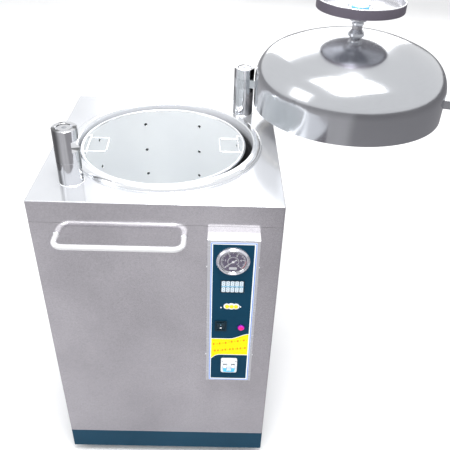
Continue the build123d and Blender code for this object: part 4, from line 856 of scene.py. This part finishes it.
P_ = Parts()
for row in (DZ + 2.3, DZ - 14.7):
    for i in range(5):
        for pts in seg_digit("8", DX - 21.6 + i * 9.35, row + 0.2, 4.9, 11.6, 1.9, 0.05):
            P_.slab(pts, DY + 0.02, DY - 0.06)
flat("display_cells", [rrect(DX - 23.0 + i * 9.35, row - 0.8, DX - 14.6 + i * 9.35, row + 12.6, 1.8) for row in (DZ + 2.3, DZ - 14.7) for i in range(5)],
     DY, 0.03, "film_cell", "cabinet")
P_.build("display_digits", "digits", "cabinet", "display_black", smooth=False)
flat("display_mid_line", [rrect(DX - 23.2, DZ - 1.3, DX + 23.2, DZ + 1.1, 0.4)], DY, 0.05, "film_sky", "cabinet")
frame_out, frame_in = rrect(DX - 24.7, DZ - 16.7, DX + 24.7, DZ + 16.7, 1.2), rrect(DX - 23.7, DZ - 15.7, DX + 23.7, DZ + 15.7, 0.8)
flat("display_bezel", [frame_out, frame_in], DY, 0.5, "black", "cabinet")

# ------------------------------------------------------------------ rocker marks: a ring low down, a bar above
RX, RZ = ROCKER


def rocker_face_y(z):
    """Front of the rocker at height z above or below its middle, in mm."""
    ry = OVER_Y - 0.5
    if z <= 0:
        return ry - 0.6 + (-2.0 + 0.6) * (z + 10.2) / 10.2
    return ry - 2.0 + (-4.6 + 2.0) * z / 9.0


def on_rocker(name, outlines, mat):
    P_ = Parts()
    for pts in outlines:
        n = len(pts)
        vs = [(RX + x, rocker_face_y(z) + 0.12, RZ + z) for x, z in pts] + [(RX + x, rocker_face_y(z) - 0.09, RZ + z) for x, z in pts]
        fs = [tuple(range(n)), tuple(range(2 * n - 1, n - 1, -1))] + [(i, i + n, (i + 1) % n + n, (i + 1) % n) for i in range(n)]
        P_.add(vs, fs)
    return P_.build(name, mat, "power_rocker", "key_white", smooth=False)


on_rocker("rocker_low_dot", [[(2.3 * math.cos(2 * math.pi * i / 24), -5.6 + 2.3 * math.sin(2 * math.pi * i / 24)) for i in range(24)]], "key_white")
on_rocker("rocker_high_bar", [[(-0.55, 3.2), (0.55, 3.2), (0.55, 6.6), (-0.55, 6.6)]], "film_sky")

# ------------------------------------------------------------------ breaker: seam and screws
BX, BZ = BREAKER
P_ = Parts()
for sx in (-1, 1):
    P_.disc((BX + sx * 15.6, 0, BZ + 17.8), [(0, 294.2), (1.2, 294.15), (1.7, 293.9), (1.9, 293.5), (1.9, 292.6), (0, 292.6)], "y", 24)
P_.build("breaker_screws", "turned", "cabinet", "polished_steel")
P_ = Parts()
for dz in (14.4, 12.9):
    P_.block((BX - 13.5, -294.05, BZ + dz), (BX + 13.5, -293.5, BZ + dz + 0.5), 0.12)
P_.build("breaker_ribs", "breaker", "cabinet", "breaker_white")

# ------------------------------------------------------------------ hand wheel: dark band, bright lip, spun web with painted reflection streaks
C = (LIDX, LIDY, 0)
band = [(96.6, 1119.0), (97.8, 1118.9), (98.45, 1118.3), (98.5, 1117.6), (98.5, 1100.0), (98.35, 1098.9), (97.7, 1098.2), (96.6, 1098.0), (94.6, 1098.0), (94.0, 1098.6), (94.0, 1100.4), (96.4, 1101.0)]
Parts().lathe(band, C, 160).build("wheel_band", "wheel_band", "screw", "wheel_grey", angle=50)
lip = [(94.9, 1117.4), (94.95, 1118.8), (95.5, 1119.7), (96.3, 1120.0), (97.3, 1119.9), (98.1, 1119.4), (98.2, 1118.75), (96.65, 1118.7), (96.4, 1117.4)]
Parts().lathe(lip, C, 160).build("wheel_lip", "wire", "screw", "polished_steel", angle=60)
web = [
    (15.05, 1094.0), (15.05, 1100.0), (22.0, 1100.0), (28.0, 1101.2), (34.0, 1103.0), (60.0, 1103.3), (88.0, 1103.0), (92.2, 1103.2),
    (94.2, 1104.0), (95.0, 1105.6), (95.0, 1117.4), (96.3, 1117.4), (96.3, 1105.0), (95.7, 1102.6), (93.6, 1100.9), (88.0, 1100.6),
    (35.0, 1100.6), (24.0, 1097.0), (20.0, 1094.0),
]
w = Parts().lathe(web, C, 160).build("wheel_web", "wheel_bright", "screw", "wheel_grey", angle=50)
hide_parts("hand_wheel")
# four rivets through the web and a raised ring round the cap
P_ = Parts()
for k in range(6):
    a = math.radians(30 + 60 * k)
    P_.disc((LIDX + 27.5 * math.cos(a), LIDY + 27.5 * math.sin(a), 0), [(0, 1104.0), (1.3, 1103.9), (2.2, 1103.4), (2.5, 1102.6), (2.5, 1101.0), (0, 1101.0)], "z", 24)
P_.build("wheel_rivets", "turned", "screw", "polished_steel")
P_ = Parts()
for k in range(3):
    P_.lathe([(18.4, 1103.2), (18.4, 1104.35), (19.4, 1104.0), (20.35, 1103.0), (20.35, 1101.6), (19.6, 1101.6)], C, 14, "z", True, 34.0, 20 + 120 * k)
P_.build("cap_blue_marks", "film_blue", "screw", "cap_blue")

# ------------------------------------------------------------------ screw: trapezoid thread below the neck
turns, per = 9.2, 40
lead = 10.0
verts, faces = [], []
prof = [(-3.6, 11.9), (-2.4, 11.9), (-1.3, 13.95), (1.3, 13.95), (2.4, 11.9), (3.6, 11.9)]
z0 = 946.5
steps = int(turns * per)
for i in range(steps + 1):
    a = 2 * math.pi * i / per
    fade = min(1.0, i / 20.0, (steps - i) / 20.0)
    for dz, r in prof:
        rr = 11.9 + (r - 11.9) * fade
        verts.append((LIDX + rr * math.cos(a), LIDY + rr * math.sin(a), min(max(z0 - 0.5 + lead * i / per + dz * 1.39, 945.8), 1037.9)))
n = len(prof)
for i in range(steps):
    for k in range(n - 1):
        faces.append((i * n + k, (i + 1) * n + k, (i + 1) * n + k + 1, i * n + k + 1))
P_ = Parts()
P_.add(verts, faces)
P_.disc(C, [(0, 941.2), (19.4, 941.2), (20, 941.8), (20, 945.2), (19.4, 945.7), (14, 945.7), (11.9, 946.2), (11.9, 1036.6), (11.5, 1038.0), (11.5, 1060.0), (11.5, 1061.5),
            (12.6, 1062.2), (13.2, 1064.0), (13.6, 1068.6), (17.0, 1071.4), (18.8, 1073.0), (19.0, 1074.0), (19.0, 1076.6), (18.4, 1077.0), (15.4, 1078.4), (15.0, 1079.4), (15.0, 1099.2), (14.2, 1100.0), (0, 1100.0)], "z", 96)
s = P_.build("screw_spindle", "mirror", "screw", "polished_steel", angle=40)
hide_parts("lid_screw")

# ------------------------------------------------------------------ weld beads
def bead(P_, centre, r, tube, count, z, wob=0.12, segs=None):
    """A rippled weld bead round a vertical axis."""
    segs = segs or count * 4
    sides = 10
    verts, faces = [], []
    for i in range(segs):
        a = 2 * math.pi * i / segs
        s_ = tube * (1 + wob * math.cos(count * a) + 0.04 * math.sin(5 * a))
        for k in range(sides):
            b = 2 * math.pi * k / sides
            rr = r + s_ * math.cos(b)
            verts.append((centre[0] + rr * math.cos(a), centre[1] + rr * math.sin(a), z + s_ * math.sin(b)))
    for i in range(segs):
        j = (i + 1) % segs
        for k in range(sides):
            l = (k + 1) % sides
            faces.append((i * sides + k, j * sides + k, j * sides + l, i * sides + l))
    return P_.add(verts, faces)


P_ = Parts()
for sx in (-1, 1):
    bead(P_, (sx * POST, sx * POST), 25.1, 1.5, 60, 819.3)
P_.build("post_weld_beads", "wire", "cabinet", "polished_steel", angle=60)
P_ = Parts()
bead(P_, (0, 0), 219.4, 0.9, 300, 819.5, 0.08)
P_.build("flange_weld_bead", "wire", "cabinet", "polished_steel", angle=60)
P_ = Parts()
for x in (-203.0, 55.0):
    verts, faces = [], []
    segs, sides = 56, 8
    for i in range(segs):
        a = 2 * math.pi * i / segs
        s_ = 1.35 * (1 + 0.12 * math.cos(22 * a))
        for k in range(sides):
            b = 2 * math.pi * k / sides
            rr = 6.3 + s_ * math.cos(b)
            verts.append((x + rr * math.cos(a), -260.1 - s_ * math.sin(b), 739.0 + rr * math.sin(a)))
    for i in range(segs):
        j = (i + 1) % segs
        for k in range(sides):
            l = (k + 1) % sides
            faces.append((i * sides + k, j * sides + k, j * sides + l, i * sides + l))
    P_.add(verts, faces)
P_.build("handle_weld_beads", "wire", "cabinet", "polished_steel", angle=60)
P_ = Parts()
bead(P_, (LIDX, LIDY), 36.2, 1.4, 70, 928.9)
P_.build("boss_weld_bead", "weld", "lid", "lid_steel", angle=60)
# rolled bead round the cover's lower edge, broken at the beam notches
P_ = Parts()
a_n = math.degrees(math.asin(22.5 / 224.0))
for k in range(2):
    st = math.degrees(OPEN) + 180 * k + a_n
    P_.ring((LIDX, LIDY, 872.4), 222.5, 1.4, "z", 120, 12, 180 - 2 * a_n, st)
P_.build("cover_rolled_edge", "lid", "lid", "lid_steel", angle=60)

# ------------------------------------------------------------------ basket: punched rims round the wall holes
P_ = Parts()
for row in range(6):
    z = 783.6 - 72.7 * row
    for k in range(8):
        a = math.radians(20.6 + 45 * k)
        cx, cy = BKX + 181.5 * math.cos(a), BKY + 181.5 * math.sin(a)
        ux, uy = -math.sin(a), math.cos(a)
        verts, faces = [], []
        segs, sides = 24, 8
        for i in range(segs):
            t = 2 * math.pi * i / segs
            for j in range(sides):
                b = 2 * math.pi * j / sides
                rr = 4.25 + 0.5 * math.cos(b)
                d = 0.42 * math.sin(b)
                verts.append((cx - d * math.cos(a) + ux * rr * math.cos(t), cy - d * math.sin(a) + uy * rr * math.cos(t), z + rr * math.sin(t)))
        for i in range(segs):
            i2 = (i + 1) % segs
            for j in range(sides):
                j2 = (j + 1) % sides
                faces.append((i * sides + j, i2 * sides + j, i2 * sides + j2, i * sides + j2))
        P_.add(verts, faces)
P_.build("basket_hole_rims", "wire", "basket", "vessel_steel", angle=60)
# weld seam down the basket wall and round its floor
P_ = Parts()
bead(P_, (BKX, BKY), 181.0, 0.7, 260, 338.0, 0.08)
pts = []
for i in range(240):
    z = 342 + (810 - 342) * i / 239
    a = math.radians(268)
    r = 181.35 + 0.10 * math.sin(i * 1.9)
    pts.append((BKX + r * math.cos(a), BKY + r * math.sin(a), z))
P_.tube(pts, 0.55, 8)
P_.build("basket_seams", "wire", "basket", "vessel_steel", angle=60)

# ------------------------------------------------------------------ rear: screws, louvre hoods, earth stud
P_ = Parts()
for x in (-244.0, 0.0, 244.0):
    for z in (104.0, 430.0, 757.0):
        if x == 0.0 and z == 430.0:
            continue
        P_.disc((x, 0, z), [(0, -262.4), (1.6, -262.3), (3.0, -261.8), (3.8, -260.9), (4.0, -259.6), (0, -259.6)], "y", 28)
P_.build("rear_panel_screws", "turned", "cabinet", "polished_steel")
P_ = Parts()
for col in (-65.0, 65.0):
    for k in range(9):
        z = 300 + (k - 4) * 16
        n = 16
        verts, faces = [], []
        sec = 7
        for i in range(n + 1):
            t = i / n
            x = col - 45.0 + 90.0 * t
            swell = math.sin(math.pi * min(max(t, 0.0), 1.0)) ** 0.35 if 0 < t < 1 else 0.0
            for j in range(sec + 1):
                b = math.pi / 2 * j / sec
                verts.append((x, 259.55 + 4.6 * swell * math.sin(b), z + 3.1 + 2.6 * (1 - swell * 0.0) - 6.2 * (1 - math.cos(b)) * 0.9))
        m = sec + 1
        for i in range(n):
            for j in range(sec):
                faces.append((i * m + j, (i + 1) * m + j, (i + 1) * m + j + 1, i * m + j + 1))
        P_.add(verts, faces)
lou = P_.build("rear_louvre_hoods", "panel", "cabinet", "cabinet_steel", angle=60)
so = lou.modifiers.new("sheet", "SOLIDIFY")
so.thickness = 0.0008
so.offset = 1.0
P_ = Parts()
P_.disc((215.0, 0, 150.0), [(0, -268.6), (2.0, -268.5), (2.6, -268.0), (2.6, -264.4), (5.6, -264.3), (6.0, -263.8), (6.0, -260.6), (7.6, -260.4), (7.9, -260.0), (7.9, -259.5), (0, -259.5)], "y", 36)
P_.build("earth_stud", "brass", "cabinet", "brass")

# drain lever: vinyl sleeve and pivot nut
P_ = Parts()
n = 26
verts, faces = [], []
sec = 28
for i in range(n + 1):
    t = i / n
    x = 26.0 + 45.4 * t
    end = min(1.0, math.sqrt(max(0.0, 1 - max(0.0, (t - 0.86) / 0.14) ** 2)), 0.75 + t * 6)
    for k in range(sec):
        b = 2 * math.pi * k / sec
        yy = 7.6 * end * math.copysign(abs(math.cos(b)) ** 0.55, math.cos(b))
        zz = 2.6 * max(end, 0.35) * math.copysign(abs(math.sin(b)) ** 0.7, math.sin(b))
        verts.append((x, 301 + yy, 132.5 + zz))
for i in range(n):
    for k in range(sec):
        l = (k + 1) % sec
        faces.append((i * sec + k, (i + 1) * sec + k, (i + 1) * sec + l, i * sec + l))
faces.append(tuple(range(sec - 1, -1, -1)))
faces.append(tuple(range(n * sec, (n + 1) * sec)))
P_.add(verts, faces)
P_.build("drain_lever_sleeve", "toggle", "drain_handle", "toggle_blue", angle=50)
P_ = Parts()
hexa = [(6.2 * math.cos(math.radians(30 + 60 * i)), 6.2 * math.sin(math.radians(30 + 60 * i))) for i in range(6)]
vs = [(x * 0.93, 301 + y * 0.93, 138.2) for x, y in hexa] + [(x, 301 + y, 137.6) for x, y in hexa] + [(x, 301 + y, 134.2) for x, y in hexa]
fs = [(0, 1, 2, 3, 4, 5), (17, 16, 15, 14, 13, 12)]
for a in (0, 6):
    for i in range(6):
        j = (i + 1) % 6
        fs.append((a + i, a + 6 + i, a + 6 + j, a + j))
P_.add(vs, fs)
P_.disc((0, 301, 0), [(0, 139.6), (2.4, 139.5), (2.9, 139.0), (2.9, 137.0), (0, 137.0)], "z", 24)
P_.build("drain_lever_nut", "turned", "drain_handle", "polished_steel", angle=25)

# feet: steel washers over the rubber, set in the tray
P_ = Parts()
for sx in (-1, 1):
    for sy in (-1, 1):
        P_.lathe([(5.2, 24.9), (5.2, 22.0), (6.4, 21.4), (13.4, 21.4), (14.0, 21.9), (14.0, 24.9)], (sx * 195, sy * 200, 0), 48)
P_.build("foot_washers", "turned", "cabinet", "polished_steel")

# ------------------------------------------------------------------ plain studio
def plane(name, size, z, mat):
    me = bpy.data.meshes.new(name)
    s = size / 2
    me.from_pydata([(-s, -s, z), (s, -s, z), (s, s, z), (-s, s, z)], [], [(0, 1, 2, 3)])
    me.materials.append(mat)
    o = bpy.data.objects.new(name, me)
    bpy.context.scene.collection.objects.link(o)
    return o


fm = Mat("studio_floor").set(spec=0.2)
fn = fm.noise(fm.scaled(1, 1, 1), 3.0, 3.0)
fm.base(fm.mix(fm.span(fn, 0.3, 0.7, 0, 1), (0.92, 0.92, 0.925, 1), (0.95, 0.95, 0.95, 1)))
fm.rough(fm.span(fn, 0.3, 0.7, 0.6, 0.7))
plane("studio_floor", 60.0, 0.0, fm.m)
# a grey card on the floor that only mirrors see, so that upright metal keeps its tone on a pale floor
cm = Mat("studio_card").set(spec=0.0)
cn = cm.noise(cm.scaled(1, 1, 1), 1.6, 3.0)
cs = cm.n.new("ShaderNodeSeparateXYZ")
cm.link(cm.scaled(1, 1, 1), cs.inputs[0])
cd = cm.mix(cm.span(cn, 0.3, 0.7, 0, 1), (0.34, 0.335, 0.345, 1), (0.41, 0.405, 0.415, 1))
cm.base(cm.mix(cm.span(cs.outputs[0], 0.16, 0.50, 0, 1), cd, (0.235, 0.23, 0.24, 1)))
cm.rough(cm.span(cn, 0.3, 0.7, 0.8, 0.9))
card = plane("studio_card", 60.0, 0.0006, cm.m)
card.visible_camera = False
card.visible_diffuse = False
card.visible_shadow = False
card.visible_transmission = False


def area(name, loc, target, size, power, colour=(1, 1, 1), size_y=None):
    li = bpy.data.lights.new(name, "AREA")
    li.shape = "RECTANGLE"
    li.size = size
    li.size_y = size_y or size
    li.energy = power
    li.color = colour
    o = bpy.data.objects.new(name, li)
    o.location = loc
    d = Vector(target) - Vector(loc)
    o.rotation_euler = d.to_track_quat("-Z", "Y").to_euler()
    bpy.context.scene.collection.objects.link(o)
    return o


area("key_soft_top", (0.25, -0.5, 3.4), (0.0, 0, 0.6), 2.4, 38)
area("fill_left", (-3.2, -1.4, 2.2), (0, 0, 0.6), 1.8, 18)
area("back_soft", (0.6, 3.8, 2.4), (0, 0, 0.8), 3.2, 58)
area("basket_soft", (0.10, -0.75, 2.35), (-0.01, 0.06, 0.55), 0.6, 18)

world = bpy.data.worlds.new("studio_world")
bpy.context.scene.world = world
world.use_nodes = True
wn = world.node_tree.nodes
wl = world.node_tree.links
wn.clear()
wo = wn.new("ShaderNodeOutputWorld")
bg = wn.new("ShaderNodeBackground")
bg.inputs["Color"].default_value = (0.97, 0.975, 0.985, 1)
bg.inputs["Strength"].default_value = 0.93
wl.new(bg.outputs[0], wo.inputs[0])

# ------------------------------------------------------------------ camera
cam = bpy.data.cameras.new("camera")
cam.lens = 45.5
cam.sensor_width = 36.0
cam.sensor_fit = "HORIZONTAL"
cam.clip_start, cam.clip_end = 0.05, 100.0
co = bpy.data.objects.new("camera", cam)
right = Vector((0.9996, 0.0033, 0.0273)).normalized()
fwd = Vector((0.0131, 0.8163, -0.5775)).normalized()
up = right.cross(fwd).normalized()
right = fwd.cross(up).normalized()
rot = Matrix((right, up, -fwd)).transposed().to_4x4()
co.matrix_world = Matrix.Translation((0.1221, -1.1839, 1.4270)) @ rot
bpy.context.scene.collection.objects.link(co)
bpy.context.scene.camera = co
bpy.context.scene.view_settings.view_transform = "Standard"
bpy.context.scene.view_settings.look = "None"
